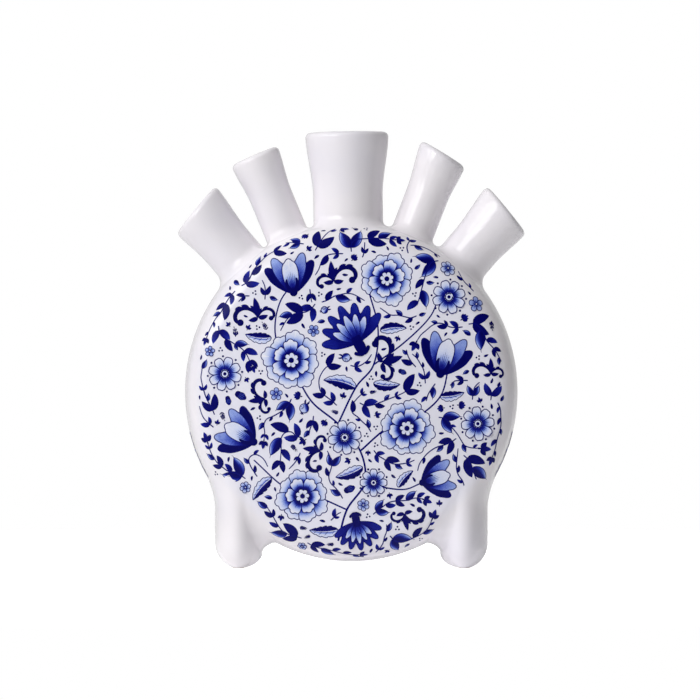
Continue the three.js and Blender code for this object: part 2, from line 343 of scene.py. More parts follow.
def set_on_disc(points, lean, across=0.0):
    """Points round the upright axis, leaned over about the disc's centre and moved across."""
    x, y, z = np.moveaxis(points, -1, 0)
    tilted = [x * cos(lean) + z * sin(lean) + across, y, z * cos(lean) - x * sin(lean) + disc_centre_height]
    return np.stack(tilted, axis=-1)


trial_end = blend_and_seat(upright, 10, 7, 5, 5)[0][-1]
print("a blend of 5 mm ends", (trial_end[0] - 10).round(2), "from the wall, at", trial_end[1].round(2), "up")

# %% [markdown]
# ## The spouts
# Five spouts were thrown or cast as little funnels, straight up to the waist and then widening in an
# easy S to a full round lip. They stand side by side round the edge, so their leans follow from their
# widths and from the gap between neighbours. But clay is set by eye: the three in the middle stand a
# degree or less to the left of their even places, and most lips at the sides slope down a little more
# than square. Such small faults are what makes a fan of spouts look made by hand.

# %% The spouts
spout_wall = 3.4            # up to the waist
lip_wall = 4.4              # the wall swells to this at the lip
spout_gap = 3               # between two neighbours, at the edge of the disc
spout_blend = 5             # how far the slip runs out where there is room
centre_drift = -0.0175      # radians to the left of its even place
inner_drift = -0.011
lip_tilt = 0.16             # radians by which a lip slopes down more than square
square_lip_tilt = 0.02
# The rise and the lift of the waist are heights above the disc, and waist and rim are widths
centre_spout = {"rise": 40.7, "waist_lift": 11.5, "waist": 31.6, "rim": 37.8}
inner_spout = {"rise": 39.1, "waist_lift": 18.5, "waist": 19.4, "rim": 22.9}
outer_spout = {"rise": 32.3, "waist_lift": 10, "waist": 23.8, "rim": 27.5}


def half_angle(spout):
    """Half of the angle that a spout takes up on the edge of the disc."""
    return asin(spout["waist"] / 2 / disc_radius)


gap_angle = spout_gap / disc_radius
inner_lean = half_angle(centre_spout) + gap_angle + half_angle(inner_spout)
outer_lean = inner_lean + half_angle(inner_spout) + gap_angle + half_angle(outer_spout)
spouts = [
    {"node": "spout_outer_left", "lean": -outer_lean, "tilt": -lip_tilt, **outer_spout},
    {"node": "spout_inner_left", "lean": inner_drift - inner_lean, "tilt": -square_lip_tilt, **inner_spout},
    {"node": "spout_centre", "lean": centre_drift, "tilt": 0.0, **centre_spout},
    {"node": "spout_inner_right", "lean": inner_drift + inner_lean, "tilt": lip_tilt, **inner_spout},
    {"node": "spout_outer_right", "lean": outer_lean, "tilt": lip_tilt, **outer_spout},
]
for spout in spouts:
    spout["foot"] = 1 / hypot(sin(spout["lean"]) / disc_radius, cos(spout["lean"]) / disc_half_height)
    print(spout["node"], "leans", round(degrees(spout["lean"]), 2), "degrees")

# %% [markdown]
# ## The slip between two spouts
# Where a neighbour stands close, there is room only for a narrow fillet of slip. So the reach of a
# spout's blend is found in every half plane: it ends at the middle of the gap, and is never longer than
# the potter's thumb would make it in the open.

# %% The slip between two spouts
def gap_from(spout, step):
    """The angle from a spout's axis to the middle of the gap beside it, on the side of that step."""
    place = spouts.index(spout) + step
    if not 0 <= place < len(spouts):
        return pi / 2
    neighbour = spouts[place]
    return (abs(neighbour["lean"] - spout["lean"]) + half_angle(spout) - half_angle(neighbour)) / 2


def round_turns(count):
    """Even turns round an axis."""
    return np.arange(count) / count * tau


def spout_reach(spout, standing):
    """How far the slip runs out over the disc in each half plane."""
    sideways = np.cos(standing.turns)
    corner = standing.at(spout["waist"] / 2, 0)
    from_centre = np.hypot(corner[0] * sideways, corner[1])
    gap = np.where(sideways < 0, gap_from(spout, -1), gap_from(spout, 1))
    free = from_centre * np.sin(gap) / np.maximum(np.abs(sideways), 1e-6) - spout["waist"] / 2
    return np.minimum(spout_blend, free)


spout_turns = 128
for spout in spouts:
    slip = spout_reach(spout, Standing(round_turns(spout_turns), spout["lean"]))
    print(spout["node"], "has slip that runs out from", slip.min().round(2), "to", slip.max().round(2))

# %% [markdown]
# ## Making the spouts
# A spout's section starts inside at the waist, goes up the bore, over the lip as half a circle, down the
# outside, out over the disc and back along the seat. Above the waist its heights are then changed with
# the way across, and that tilts the lip and takes the flare with it.

# %% Making the spouts
flare_steps = 14
lip_steps = 16


def spout_radius(spout, height):
    """The outside of a spout, which widens along an easy S from the waist to the lip."""
    flared = spout["rise"] - spout["waist_lift"]
    share = np.clip((height - spout["foot"] - spout["waist_lift"]) / flared, 0, 1)
    return (spout["waist"] + (spout["rim"] - spout["waist"]) * share**2 * (3 - 2 * share)) / 2


def mouth_section(spout):
    """The rows of points up the bore, over the lip and down the outside to the waist."""
    waist = spout["foot"] + spout["waist_lift"]
    lip_height = spout["foot"] + spout["rise"] - lip_wall / 2
    lip_out = spout_radius(spout, lip_height) - lip_wall / 2
    heights = np.linspace(waist, lip_height, flare_steps + 1)[:-1]
    walls = np.linspace(spout_wall, lip_wall, flare_steps + 1)[:-1]
    inside = [(spout_radius(spout, h) - wall, h) for h, wall in zip(heights, walls)]
    angles = np.linspace(pi, 0, lip_steps + 1)
    lip = [(lip_out + lip_wall / 2 * cos(a), lip_height + lip_wall / 2 * sin(a)) for a in angles]
    outside = [(spout_radius(spout, h), h) for h in heights[::-1]]
    return [(out, up, (up - waist) / (lip_height - waist)) for out, up in inside + lip + outside]


def spout_rings(spout):
    """The whole section of a spout, all the way round."""
    standing = Standing(round_turns(spout_turns), spout["lean"])
    wall_out = spout["waist"] / 2
    reach = spout_reach(spout, standing)
    curve, seat = blend_and_seat(standing, wall_out, wall_out - spout_wall, reach, reach)
    slope = np.cos(standing.turns) * tan(spout["tilt"])
    mouth = []
    for out, up, share in mouth_section(spout):
        mouth.append(np.stack([0 * slope + out, up - share * out * slope]))
    return rings_of(standing, mouth + curve + seat)


spout_pieces = []
for spout in spouts:
    node = spout["node"]
    rings = set_on_disc(spout_rings(spout), spout["lean"])
    points, faces = loft(rings, closed=True)
    piece = add_piece("glazed_" + node, mesh_from(node, points, faces), node)
    spout_pieces.append(piece)

# %% [markdown]
# ## The feet
# The two feet are upright oval cups that hang from the disc and narrow to a small flat sole. A foot has
# to meet a round edge across its whole depth, so its blend is long where there is room and short where
# the disc is near. Half planes spread by the outline of the oval keep the points even, and the lower end
# is a quarter of an ellipse that stops at the sole.

# %% The feet
foot_spread = 51.1          # from the middle of the vase to the axis of a foot
foot_width = 21.6
foot_setback = 4.5          # of the oval from the deepest point of the disc
foot_wall = 4
sole_width = 6
foot_round_height = 11      # from the sole to the full width
foot_least_round = 7.2      # the height that the blend leaves to the round
foot_blend = 9              # how far the slip runs out where there is room
least_blend = 0.8
foot_turns = 160
foot_round_steps = 20
foot_across = foot_width / 2
foot_deep = disc_depth / 2 - foot_setback


def oval_turns(count):
    """Turns that spread points evenly round the oval of a foot."""
    even = round_turns(count)
    return np.arctan2(foot_deep * np.sin(even), foot_across * np.cos(even))


def foot_oval(turns, inset):
    """From the axis of a foot to an oval this far inside its widest outline."""
    return 1 / np.hypot(np.cos(turns) / (foot_across - inset), np.sin(turns) / (foot_deep - inset))


print("the oval of a foot is", foot_width, "wide and", round(2 * foot_deep, 1), "deep")

# %% [markdown]
# The outside and the hollow of a foot are made alike, one inside the other. Seen from the front each
# narrows along a quarter of an ellipse, which is drawn by its angle, so that its rings are closest where
# it curves most.

# %% Making the feet
def foot_round(turns, wall, bottom, top):
    """The rounded end, from the flat at its bottom up to its full width."""
    lowest = 1 - sqrt(1 - (sole_width / foot_width) ** 2)
    rows = []
    for i in range(foot_round_steps + 1):
        share = 1 - cos(i / foot_round_steps * pi / 2)
        below = (1 - lowest) * (1 - share)
        narrowing = 1 - sqrt(1 - below**2)
        out = foot_oval(turns, wall + (foot_across - wall) * narrowing)
        rows.append(np.stack([out, disc_centre_height - (bottom + (top - bottom) * share)]))
    return rows


def foot_rings(shift):
    """The whole section of a foot, from the sole up and down again inside, all the way round."""
    standing = Standing(oval_turns(foot_turns), shift=shift)
    wall_out = foot_oval(standing.turns, 0)
    corner = standing.at(wall_out, 0)
    room = disc_centre_height - foot_least_round - corner[1]
    climb = np.maximum(least_blend, np.minimum(foot_blend, room))
    hold = blend_hold * np.clip(room / (2 * foot_blend), 0, 1)
    bore = foot_oval(standing.turns, foot_wall)
    curve, seat = blend_and_seat(standing, wall_out, bore, climb, climb, hold)

    def round_up_to(level):
        return np.minimum(foot_round_height, disc_centre_height - level - least_blend / 2)

    outside = foot_round(standing.turns, 0, 0, round_up_to(curve[0][1]))
    inside = foot_round(standing.turns, foot_wall, foot_wall, round_up_to(seat[-1][1]))
    nothing = np.zeros(foot_turns)
    sole = np.stack([nothing, nothing + disc_centre_height])
    floor_of_foot = np.stack([nothing, nothing + disc_centre_height - foot_wall])
    return rings_of(standing, [sole, *outside, *curve, *seat, *inside[::-1], floor_of_foot])


foot_pieces = []
for node, shift in (("foot_left", foot_spread), ("foot_right", -foot_spread)):
    rings = set_on_disc(foot_rings(shift), pi, -shift)
    points, faces = loft(rings, closed=False)
    piece = add_piece("glazed_" + node, mesh_from(node, points, faces), node)
    foot_pieces.append(piece)

# %% [markdown]
# ## The shells
# The disc is two dished shells, pressed in the same mould and joined rim to rim. A lathe shape is the
# natural way to make one: the section goes once round the axis, out along the outer skin and back along
# the inner one.

# %% The shells
shell_turns = 288
face_steps, turn_steps, crown_steps = 26, 22, 14


def shell_section(inside):
    """Points of the section, from the middle of the face to the joint, this far inside the skin."""
    stops = np.concatenate([
        np.linspace(0, dome_length, face_steps + 1)[:-1],
        np.linspace(dome_length, dome_length + turn_length, turn_steps + 1)[:-1],
        np.linspace(dome_length + turn_length, half_length, crown_steps + 1),
    ])
    return np.stack(along_section(stops, -inside), axis=-1)


def shell_skin(side):
    """Points and faces of one shell, without its openings."""
    section = np.vstack([shell_section(0), shell_section(disc_wall)[::-1]])
    turns = round_turns(shell_turns) * -side
    out, depth = section.T
    x = out * np.cos(turns)[:, None]
    z = out * np.sin(turns)[:, None] * disc_stretch + disc_centre_height
    y = np.broadcast_to(side * depth, x.shape)
    return loft(np.stack([x, y, z], axis=-1), closed=False)


print("points on the section of a shell", len(shell_section(0)) + len(shell_section(disc_wall)))

# %% [markdown]
# The potter cuts the openings with a hole tool before the spouts and the feet are luted on. A boolean does
# the same here, with one mesh of plugs that are as wide as the bores. The plugs are removed afterwards.

# %% Cutting the bores
def plug_rings(turns, out, start, end):
    """A plug this wide, between two heights on an upright axis."""
    around = np.ones(len(turns))
    rows = [(0 * around, end), (out * around, end), (out * around, start), (0 * around, start)]
    section = [np.stack([width, level * around]) for width, level in rows]
    return rings_of(Standing(turns), section)


def bore_plugs():
    """One mesh of plugs as wide as the bores, in line with them."""
    plugs = []
    for spout in spouts:
        bore = spout["waist"] / 2 - spout_wall
        low, high = spout["foot"] - 3 * disc_wall, spout["foot"] + disc_wall
        rings = plug_rings(round_turns(spout_turns), bore, low, high)
        plugs.append(loft(set_on_disc(rings, spout["lean"]), closed=False))
    turns = oval_turns(foot_turns)
    for shift in (foot_spread, -foot_spread):
        rings = plug_rings(turns, foot_oval(turns, foot_wall), edge_radius, disc_centre_height - foot_wall)
        plugs.append(loft(set_on_disc(rings, pi, -shift), closed=False))
    points, faces = [], []
    for plug_points, plug_faces in plugs:
        start = sum(len(rows) for rows in points)
        points.append(plug_points)
        faces += [[start + corner for corner in face] for face in plug_faces]
    return np.vstack(points), faces


def cut_bores(piece, cutter):
    """The piece with the cutter taken out of it, and its edges set again."""
    cut = piece.modifiers.new("bores", "BOOLEAN")
    cut.operation = "DIFFERENCE"
    cut.solver = "EXACT"
    cut.object = cutter
    graph = bpy.context.evaluated_depsgraph_get()
    mesh = bpy.data.meshes.new_from_object(piece.evaluated_get(graph))
    piece.modifiers.clear()
    piece.data = mesh
    shade_smoothly(mesh)


cutter = add_object("bore_plugs", mesh_from("bore_plugs", *bore_plugs()))
shell_pieces = []
for node, side in (("shell_front", -1), ("shell_back", 1)):
    piece = add_piece("glazed_" + node, mesh_from(node, *shell_skin(side)), node)
    cut_bores(piece, cutter)
    shell_pieces.append(piece)
    print(node, len(piece.data.polygons), "faces after the bores are cut")
bpy.data.objects.remove(cutter)

# %% [markdown]
# ## Sums on shader sockets
# A glaze is a handful of small effects on top of each other, and that reads best as sums. The little
# class below wraps one output of a node, and each operator on it adds a Math node.

# %% Sums on shader sockets
class Value:
    """One output of a node, ready for sums."""

    def __init__(self, finish, node, output=0):
        self.finish = finish
        self.node = node
        self.socket = node.outputs[output]

    def out(self, output):
        """Another output of the same node."""
        return Value(self.finish, self.node, output)

    def sum(self, operation, *values):
        """A Math node on these values."""
        return self.finish.node("ShaderNodeMath", {"operation": operation}, dict(enumerate(values)))

    def __add__(self, other):
        return self.sum("ADD", self, other)

    def __sub__(self, other):
        return self.sum("SUBTRACT", self, other)

    def __rsub__(self, other):
        return self.sum("SUBTRACT", other, self)

    def __mul__(self, other):
        return self.sum("MULTIPLY", self, other)

    def __truediv__(self, other):
        return self.sum("DIVIDE", self, other)

    def __rtruediv__(self, other):
        return self.sum("DIVIDE", other, self)

    __radd__ = __add__
    __rmul__ = __mul__

    def held(self):
        """Kept from 0 to 1."""
        return self.finish.node("ShaderNodeClamp", {}, {0: self})


print("2 * value and value * 2 are one method:", Value.__mul__ is Value.__rmul__)

# %% [markdown]
# Every other node is made by one method, which first sets what kind of work the node does and then fills
# its sockets. Colours go through a Mix node, and places through Vector Math, because a Math node would
# make one grey number of them.

# %% Nodes by one method
class Finish:
    """The nodes of one material or world."""

    def __init__(self, owner):
        owner.use_nodes = True
        self.tree = owner.node_tree
        self.tree.nodes.clear()

    def node(self, kind, settings=None, inputs=None):
        """Any node: first its settings, and then the values or links of its sockets."""
        node = self.tree.nodes.new(kind)
        for name, setting in (settings or {}).items():
            if name == "stops":
                self.set_stops(node.color_ramp, setting)
            else:
                setattr(node, name, setting)
        for name, value in (inputs or {}).items():
            if isinstance(value, Value):
                self.tree.links.new(value.socket, node.inputs[name])
            else:
                node.inputs[name].default_value = value
        return Value(self, node) if node.outputs else None

    def set_stops(self, ramp, stops):
        """The places and colours of a ramp."""
        while len(ramp.elements) < len(stops):
            ramp.elements.new(0.5)
        for element, (place, colour) in zip(ramp.elements, stops):
            element.position = place
            element.color = colour

    def mix(self, share, low, high):
        """One colour over another."""
        mixed = self.node("ShaderNodeMix", {"data_type": "RGBA"}, {"Factor": share, 6: low, 7: high})
        return mixed.out(2)

    def noise(self, place, waves, detail):
        """Noise with this many waves to a metre."""
        return self.node("ShaderNodeTexNoise", {}, {"Vector": place, "Scale": waves, "Detail": detail})

    def vector(self, operation, *values):
        """A Vector Math node on these values."""
        return self.node("ShaderNodeVectorMath", {"operation": operation}, dict(enumerate(values)))


def colour(red, green, blue):
    """A colour as a screen shows it, from 0 to 255, in the even numbers that light is worked out in."""
    shares = np.array([red, green, blue]) / 255
    even = np.where(shares > 0.04045, ((shares + 0.055) / 1.055) ** 2.4, shares / 12.92)
    return (*even.tolist(), 1)


print("middle grey of a screen as light", round(colour(128, 128, 128)[0], 3))

# %% [markdown]
# ## The white glaze
# Tin glaze is opaque, milky and very smooth, and it hides the clay but not the hand: it lies a little
# uneven, so reflections bend in it, and it is faintly cool where it is thick. In the kiln a breath of the
# cobalt goes into the glaze round the painting, so the ground between the flowers is bluer than the feet.
# Under the feet the glaze is wiped off, so that the vase doesn't stick to the kiln shelf, and the buff
# clay shows, dry and a little sandy. Noise in the object's own space makes all of that, so nothing slides
# when the camera moves.

# %% The white glaze
glaze_white = colour(244, 240, 244)
glaze_pool = colour(236, 233, 241)
fumed_white = colour(236, 235, 247)
bare_clay = colour(206, 180, 148)
clay_grit = colour(172, 142, 112)
glaze_gloss = 0.12       # roughness of the fired glaze
glaze_uneven = 0.05      # how much rougher it is where the cloud is thickest
clay_roughness = 0.8
glass_bend = 1.5         # index of refraction of glaze
swell_waves = 42         # to a metre, as all waves here
swell_height = 0.075     # millimetres
skin_waves = 520
skin_height = 0.004      # millimetres
cloud_waves = 26
grit_waves = 1400
sole_line = 0.0001       # metres above the table at which the glaze begins
sole_ragged = 0.0003     # metres by which that line wanders
sole_sharpness = 8000    # from glaze to clay over one 8000th of a metre
fume_reach = 0.071       # metres from the middle of a face to where the cobalt's breath has gone
fume_fade = 0.006        # metres over which it goes


def glaze_bump(finish, place):
    """The slow swell and the fine skin of fired glaze."""
    swell = finish.noise(place, swell_waves, 1.0)
    skin = finish.noise(place, skin_waves, 1.0)
    height = swell * swell_height + skin * skin_height
    return finish.node("ShaderNodeBump", {}, {"Strength": 1.0, "Distance": MM, "Height": height})


def make_glaze():
    """White glaze, blue-tinged beside the painting, and bare clay at the soles."""
    glaze = bpy.data.materials.new("tin_glaze")
    finish = Finish(glaze)
    place = finish.node("ShaderNodeTexCoord").out("Object")
    height = finish.node("ShaderNodeSeparateXYZ", {}, {0: place}).out("Z")
    cloud = finish.noise(place, cloud_waves, 3.0)
    grit = finish.noise(place, grit_waves, 2.0)
    pooled = ((cloud - 0.42) * 3).held()
    body_colour = finish.mix(pooled, glaze_white, glaze_pool)
    from_centre = finish.vector("SUBTRACT", place, (0, 0, disc_centre_height * MM))
    from_axis = finish.vector("MULTIPLY", from_centre, (1, 0, 1))
    away = finish.vector("LENGTH", from_axis).out("Value")
    fumed = ((fume_reach - away) / fume_fade).held() * (0.7 + 0.6 * cloud)
    body_colour = finish.mix(fumed.held(), body_colour, fumed_white)
    bare = ((sole_line + grit * sole_ragged - height) * sole_sharpness).held()
    clay_colour = finish.mix(((grit - 0.45) * 5).held(), bare_clay, clay_grit)
    body_colour = finish.mix(bare, body_colour, clay_colour)
    roughness = (glaze_gloss + cloud * glaze_uneven) * (1 - bare) + bare * clay_roughness
    bump = glaze_bump(finish, place)
    inputs = {"Base Color": body_colour, "Roughness": roughness, "IOR": glass_bend, "Normal": bump}
    shader = finish.node("ShaderNodeBsdfPrincipled", {}, inputs)
    finish.node("ShaderNodeOutputMaterial", {}, {"Surface": shader})
    return glaze


glaze = make_glaze()
clay_pieces = shell_pieces + spout_pieces + foot_pieces
for piece in clay_pieces:
    piece.data.materials.clear()
    piece.data.materials.append(glaze)
print("glazed", len(clay_pieces), "pieces with", len(glaze.node_tree.nodes), "nodes")

# %% [markdown]
# ## The painter's brush
# The blue is cobalt, painted on the raw white glaze with brushes: pale washes of thin colour, darker
# second touches, and thin outlines of strong colour, called trek. So the painting here is made of
# touches too. Each one is a little film of colour that lies on the skin of the disc, with its own edge
# and its own strength of cobalt from point to point. This keeps every edge crisp at any distance, which
# a pattern out of noise can't do. The painter works on a flat plan, in millimetres along the skin from
# the middle of the face, and the films are bent over the disc later.

# %% The painter's brush
film_pitch = 1.4      # between the points of a film
line_pitch = 1.0      # between the points along a touch


def unit(angle):
    """One millimetre in this direction."""
    return np.array([cos(angle), sin(angle)])


def bend(start, angle, length, curl, count=16):
    """Points of a line that leaves start at angle and turns by curl over its length."""
    turn = angle + curl * np.linspace(0, 1, count)
    steps = np.stack([np.cos(turn), np.sin(turn)], 1) * length / (count - 1)
    return np.asarray(start) + np.vstack([[0, 0], np.cumsum((steps[1:] + steps[:-1]) / 2, 0)])


def smooth(points, count):
    """A smooth line through given points."""
    p = np.asarray(points, float)
    p = np.vstack([2 * p[0] - p[1], p, 2 * p[-1] - p[-2]])
    t = np.linspace(0, len(points) - 1 - 1e-9, count)
    i = t.astype(int)
    f = (t - i)[:, None]
    a, b, c, d = p[i], p[i + 1], p[i + 2], p[i + 3]
    bow = (2 * a - 5 * b + 4 * c - d) * f**2 + (3 * b - a - 3 * c + d) * f**3
    return 0.5 * (2 * b + (c - a) * f + bow)


def evenly(line, pitch):
    """The same line with points this far apart."""
    run = np.append(0, np.cumsum(np.hypot(*np.diff(line, axis=0).T)))
    at = np.linspace(0, run[-1], max(3, int(np.ceil(run[-1] / pitch)) + 1))
    return np.stack([np.interp(at, run, line[:, k]) for k in (0, 1)], 1)


def heading(line, i):
    """The direction of a line at one of its points."""
    i = min(i, len(line) - 2)
    return atan2(*(line[i + 1] - line[i])[::-1])


def left_of(ways):
    """One millimetre to the left of each of these ways."""
    ways = ways / (np.hypot(*ways.T)[:, None] + 1e-12)
    return np.stack([-ways[:, 1], ways[:, 0]], 1)


def beside(line):
    """One millimetre to the left of a line, at each of its points."""
    return left_of(np.gradient(line, axis=0))


def circle(centre, radius, count):
    """Even points round a centre."""
    turns = round_turns(count)
    return np.asarray(centre) + np.stack([np.cos(turns), np.sin(turns)], 1) * radius


print("a bent line ends at", bend((0, 0), 0, 10, pi / 2)[-1].round(2))

# %% [markdown]
# A round brush leaves a touch that is thin where it lands, full in the middle and rounded where it is
# lifted. A wash fills a closed outline, and trek is an even thin line. These are the methods of one class
# that only collects films, because the order of the touches matters: what comes later lies on top. To see
# how much work a motif is, it can be painted once on its own and its films counted.

# %% Touches of the brush
least_half = 0.01     # half the width of a touch at its very ends
cap_stops = (0.13, 0.5)     # shares of the rounded end at which it gets a point of its own


class Painting:
    """Films of colour, from the first touch to the last. Each is a grid of points, the strength of the
    cobalt at them, and whether the grid closes on itself."""

    def __init__(self):
        self.films = []

    def film(self, grid, cobalt, closed=False):
        """One more film on top of the others."""
        self.films.append((grid, np.broadcast_to(cobalt, grid.shape[:2]).astype(float), closed))

    def ribbon(self, line, half, cobalt, across=None):
        """A band along a line, this wide to each side. cobalt may depend on where it is in the band."""
        across = across or max(2, int(np.ceil(2 * np.max(half) / film_pitch)) + 1)
        aside = np.linspace(-1, 1, across)
        half = np.broadcast_to(half, len(line))[:, None] * aside
        if callable(cobalt):
            cobalt = cobalt(np.linspace(0, 1, len(line))[:, None], aside[None])
        self.film(line[:, None] + beside(line)[:, None] * half[..., None], cobalt)

    def stroke(self, line, width, cobalt, start, end):
        """One touch of a round brush. start and end say how full its ends are."""
        line = evenly(line, line_pitch)
        even = np.linspace(0, 1, len(line))
        length = np.hypot(*np.diff(line, axis=0).T).sum()
        cap = min(0.5, width / 2 / max(length, 1e-6))
        caps = [stop * cap for stop in cap_stops]
        run = np.unique(np.concatenate([even, caps, [1 - stop for stop in caps]]))
        line = np.stack([np.interp(run, even, line[:, k]) for k in (0, 1)], 1)
        swell = (start + (end - start) * run) / max(start, end)
        to_end = np.clip(np.minimum(run, 1 - run) / cap, 0, 1)
        self.ribbon(line, width / 2 * swell * np.sqrt(1 - (1 - to_end) ** 2) + least_half, cobalt)

    def wash(self, edge, centre, cobalt):
        """A film inside a closed edge. cobalt may depend on the points."""
        edge, centre = np.asarray(edge), np.asarray(centre)
        rings = max(1, int(np.ceil(np.hypot(*(edge - centre).T).max() / film_pitch)))
        grid = centre + (edge - centre)[None] * np.linspace(0, 1, rings + 1)[:, None, None]
        self.film(grid, cobalt(grid) if callable(cobalt) else cobalt, closed=True)

    def outline(self, edge, width, cobalt):
        """A thin line round a closed edge."""
        side = left_of(np.roll(edge, -1, 0) - np.roll(edge, 1, 0)) * width / 2
        self.film(np.stack([edge + side, edge - side]), cobalt, closed=True)

    def dot(self, centre, radius, cobalt=0.97):
        """The tip of the brush, set down once."""
        self.wash(circle(centre, radius, 10), centre, cobalt)


def touches_of(motif, *sizes):
    """How many films one motif takes."""
    trial = Painting()
    motif(trial, (0.0, 0.0), 0.0, *sizes)
    return len(trial.films)


trial = Painting()
trial.dot((0, 0), 0.5)
print("a dot is a grid of", trial.films[0][0].shape[:2], "points")

# %% [markdown]
# ## Petals and flowers
# Every flower is petals round a heart. A petal starts as a rounded outline whose outer end may be parted
# into scallops. It gets a wash that is dark in the heart and pale at the rim, a few streaks, and then its
# outline. The shade of the wash is a formula over the petal's own length and width, so a petal keeps its
# modelling at any size and angle.

# %% One petal
def rotation(angle):
    """Rows of points times this are turned by the angle."""
    cosine, sine = cos(angle), sin(angle)
    return np.array([[cosine, sine], [-sine, cosine]])


def petal_edge(base, angle, length, width, lobes=0, depth=0.08, taper=0.55):
    """The edge of a petal that springs from base. Its outer end may be parted into lobes."""
    count = int(max(16, (length + width) * 1.3, 7 * lobes))
    turn = np.arange(count) / count * tau
    x = (1 - np.cos(turn)) / 2
    y = -np.sin(turn) / 2 * (1 - taper * (1 - x) ** 1.3)
    if lobes:
        outer = np.clip((x - 0.35) / 0.65, 0, 1) ** 0.7
        wave = (np.cos if lobes % 2 else np.sin)(lobes * pi / 2 * (turn - pi) / pi * 1.25)
        scale = 1 - depth * (1 - np.abs(wave) ** 0.6) * outer
        x, y = 0.3 + (x - 0.3) * scale, y * scale
    return np.asarray(base) + np.stack([x * length, y * width], 1) @ rotation(angle)


def petal(paint, base, angle, length, width, lobes=0, depth=0.08, taper=0.55, heart=(0.9, 0.25, 0.3),
          pale=0.28, rim=0.12, line=0.42, streaks=0):
    """One petal. heart is the strength of its dark spot, the place along the petal and the size. pale and
    rim are the strengths in the middle and at the end."""
    edge = petal_edge(base, angle, length, width, lobes, depth, taper)
    way = unit(angle)
    side = np.array([-way[1], way[0]])
    strength, place, size = heart

    def shade(grid):
        x = (grid - base) @ way / length
        y = (grid - base) @ side / (width / 2)
        far = np.hypot(x - place, y * 0.45) / size
        return np.clip(rim + (pale - rim) * (1 - x) + (strength - pale) * np.exp(-(far**2.2)), 0, 1)

    paint.wash(edge, base + way * length * 0.45, shade)
    for number in range(streaks):
        aside = (number + 1) / (streaks + 1) * 2 - 1
        start = base + way * length * 0.16 + side * width * 0.10 * aside
        end = base + way * length * (0.62 - 0.16 * abs(aside)) + side * width * 0.30 * aside
        middle = (start + end) / 2 + side * 0.04 * width * aside
        paint.stroke(smooth([start, middle, end], 8), 0.32, 0.8, 1, 0.2)
    paint.outline(edge, line, 0.88)


print("touches: petal", touches_of(petal, 9, 6))

# %% [markdown]
# Seen from the front, petals go round a centre by equal angles. The full flower has two tiers, and each
# tier is laid in two rounds, every other petal first, so that neighbours overlap as real ones do. The
# daisy and the blossom are the same idea with fewer touches.

# %% Flowers from the front
def peony(paint, centre, turn, size, petals=7):
    """A full flower from the front: two tiers of scalloped petals round a ring of small ones."""
    centre = np.asarray(centre, float)
    # Of each tier: its petals, how far out they start, their length and width, and pale, rim and heart
    tiers = (
        (petals + 1, 0.30, 0.76, 0.84, 0.26, 0.02, 0.36),
        (petals - 1, 0.16, 0.58, 0.64, 0.22, 0.0, 0.34),
    )
    for count, start, length, width, pale, rim, dark in tiers:
        for k in [*range(0, count, 2), *range(1, count, 2)]:
            way = turn + 0.3 * length + k * tau / count
            grown = length * (0.98 + 0.1 * sin(2.3 * k + turn))
            petal(paint, centre + unit(way) * size * start, way, size * grown, size * width, 5, 0.22, 0.5,
                  (1.1, 0.16, dark), pale, rim, streaks=1)
    for k in range(petals + 1):
        paint.dot(centre + unit(turn + 0.2 + k * tau / (petals + 1)) * size * 0.27, size * 0.07, 0.98)
    for k in range(petals):
        way = turn + 0.2 + k * tau / petals
        edge = petal_edge(centre + unit(way) * size * 0.09, way, size * 0.17, size * 0.16, taper=0.25)
        paint.wash(edge, centre + unit(way) * size * 0.18, 0.08)
    paint.dot(centre, size * 0.10, 0.96)


def daisy(paint, centre, turn, size, petals=8):
    """A single round of narrow petals about a dotted eye."""
    centre = np.asarray(centre, float)
    for k in range(petals):
        way = turn + k * tau / petals
        petal(paint, centre + unit(way) * size * 0.12, way, size * 0.86, size * 0.62, 2, 0.09, 0.6,
              (1.0, 0.1, 0.36), 0.24, 0.02, streaks=3)
    paint.dot(centre, size * 0.24, 0.12)
    paint.outline(circle(centre, size * 0.2, 20), 0.45, 0.95)
    paint.dot(centre, size * 0.10, 0.98)
    for k in range(petals):
        paint.dot(centre + unit(turn + (k + 0.5) * tau / petals) * size * 0.98, 0.5, 0.97)


def blossom(paint, centre, turn, size, petals=5, pale=0.3):
    """A small open flower of plain petals."""
    centre = np.asarray(centre, float)
    for k in range(petals):
        way = turn + k * tau / petals
        petal(paint, centre + unit(way) * size * 0.08, way, size * 0.9, size * 0.88, taper=0.62,
              heart=(0.55, 0.2, 0.35), pale=pale, rim=pale * 0.5, line=0.36)
        vein = np.array([centre + unit(way) * size * 0.25, centre + unit(way) * size * 0.5])
        paint.stroke(vein, 0.4, 0.85, 1, 0.3)
    paint.dot(centre, size * 0.2, 0.95)
    paint.dot(centre, size * 0.1, 0.1)


for motif, size in ((peony, 12), (daisy, 8), (blossom, 4)):
    print("touches:", motif.__name__, touches_of(motif, size))

# %% [markdown]
# Seen from the side, petals fan out from one root instead. The dark ones at the back are painted first
# and the pale one in front last, which is all that it takes to make a cup look round.

# %% Flowers from the side
def outer_first(count):
    """Places from -1 to 1 across a fan, the outermost first."""
    order = sorted(range(count), key=lambda k: -abs(k - (count - 1) / 2))
    return [k / (count - 1) * 2 - 1 for k in order]


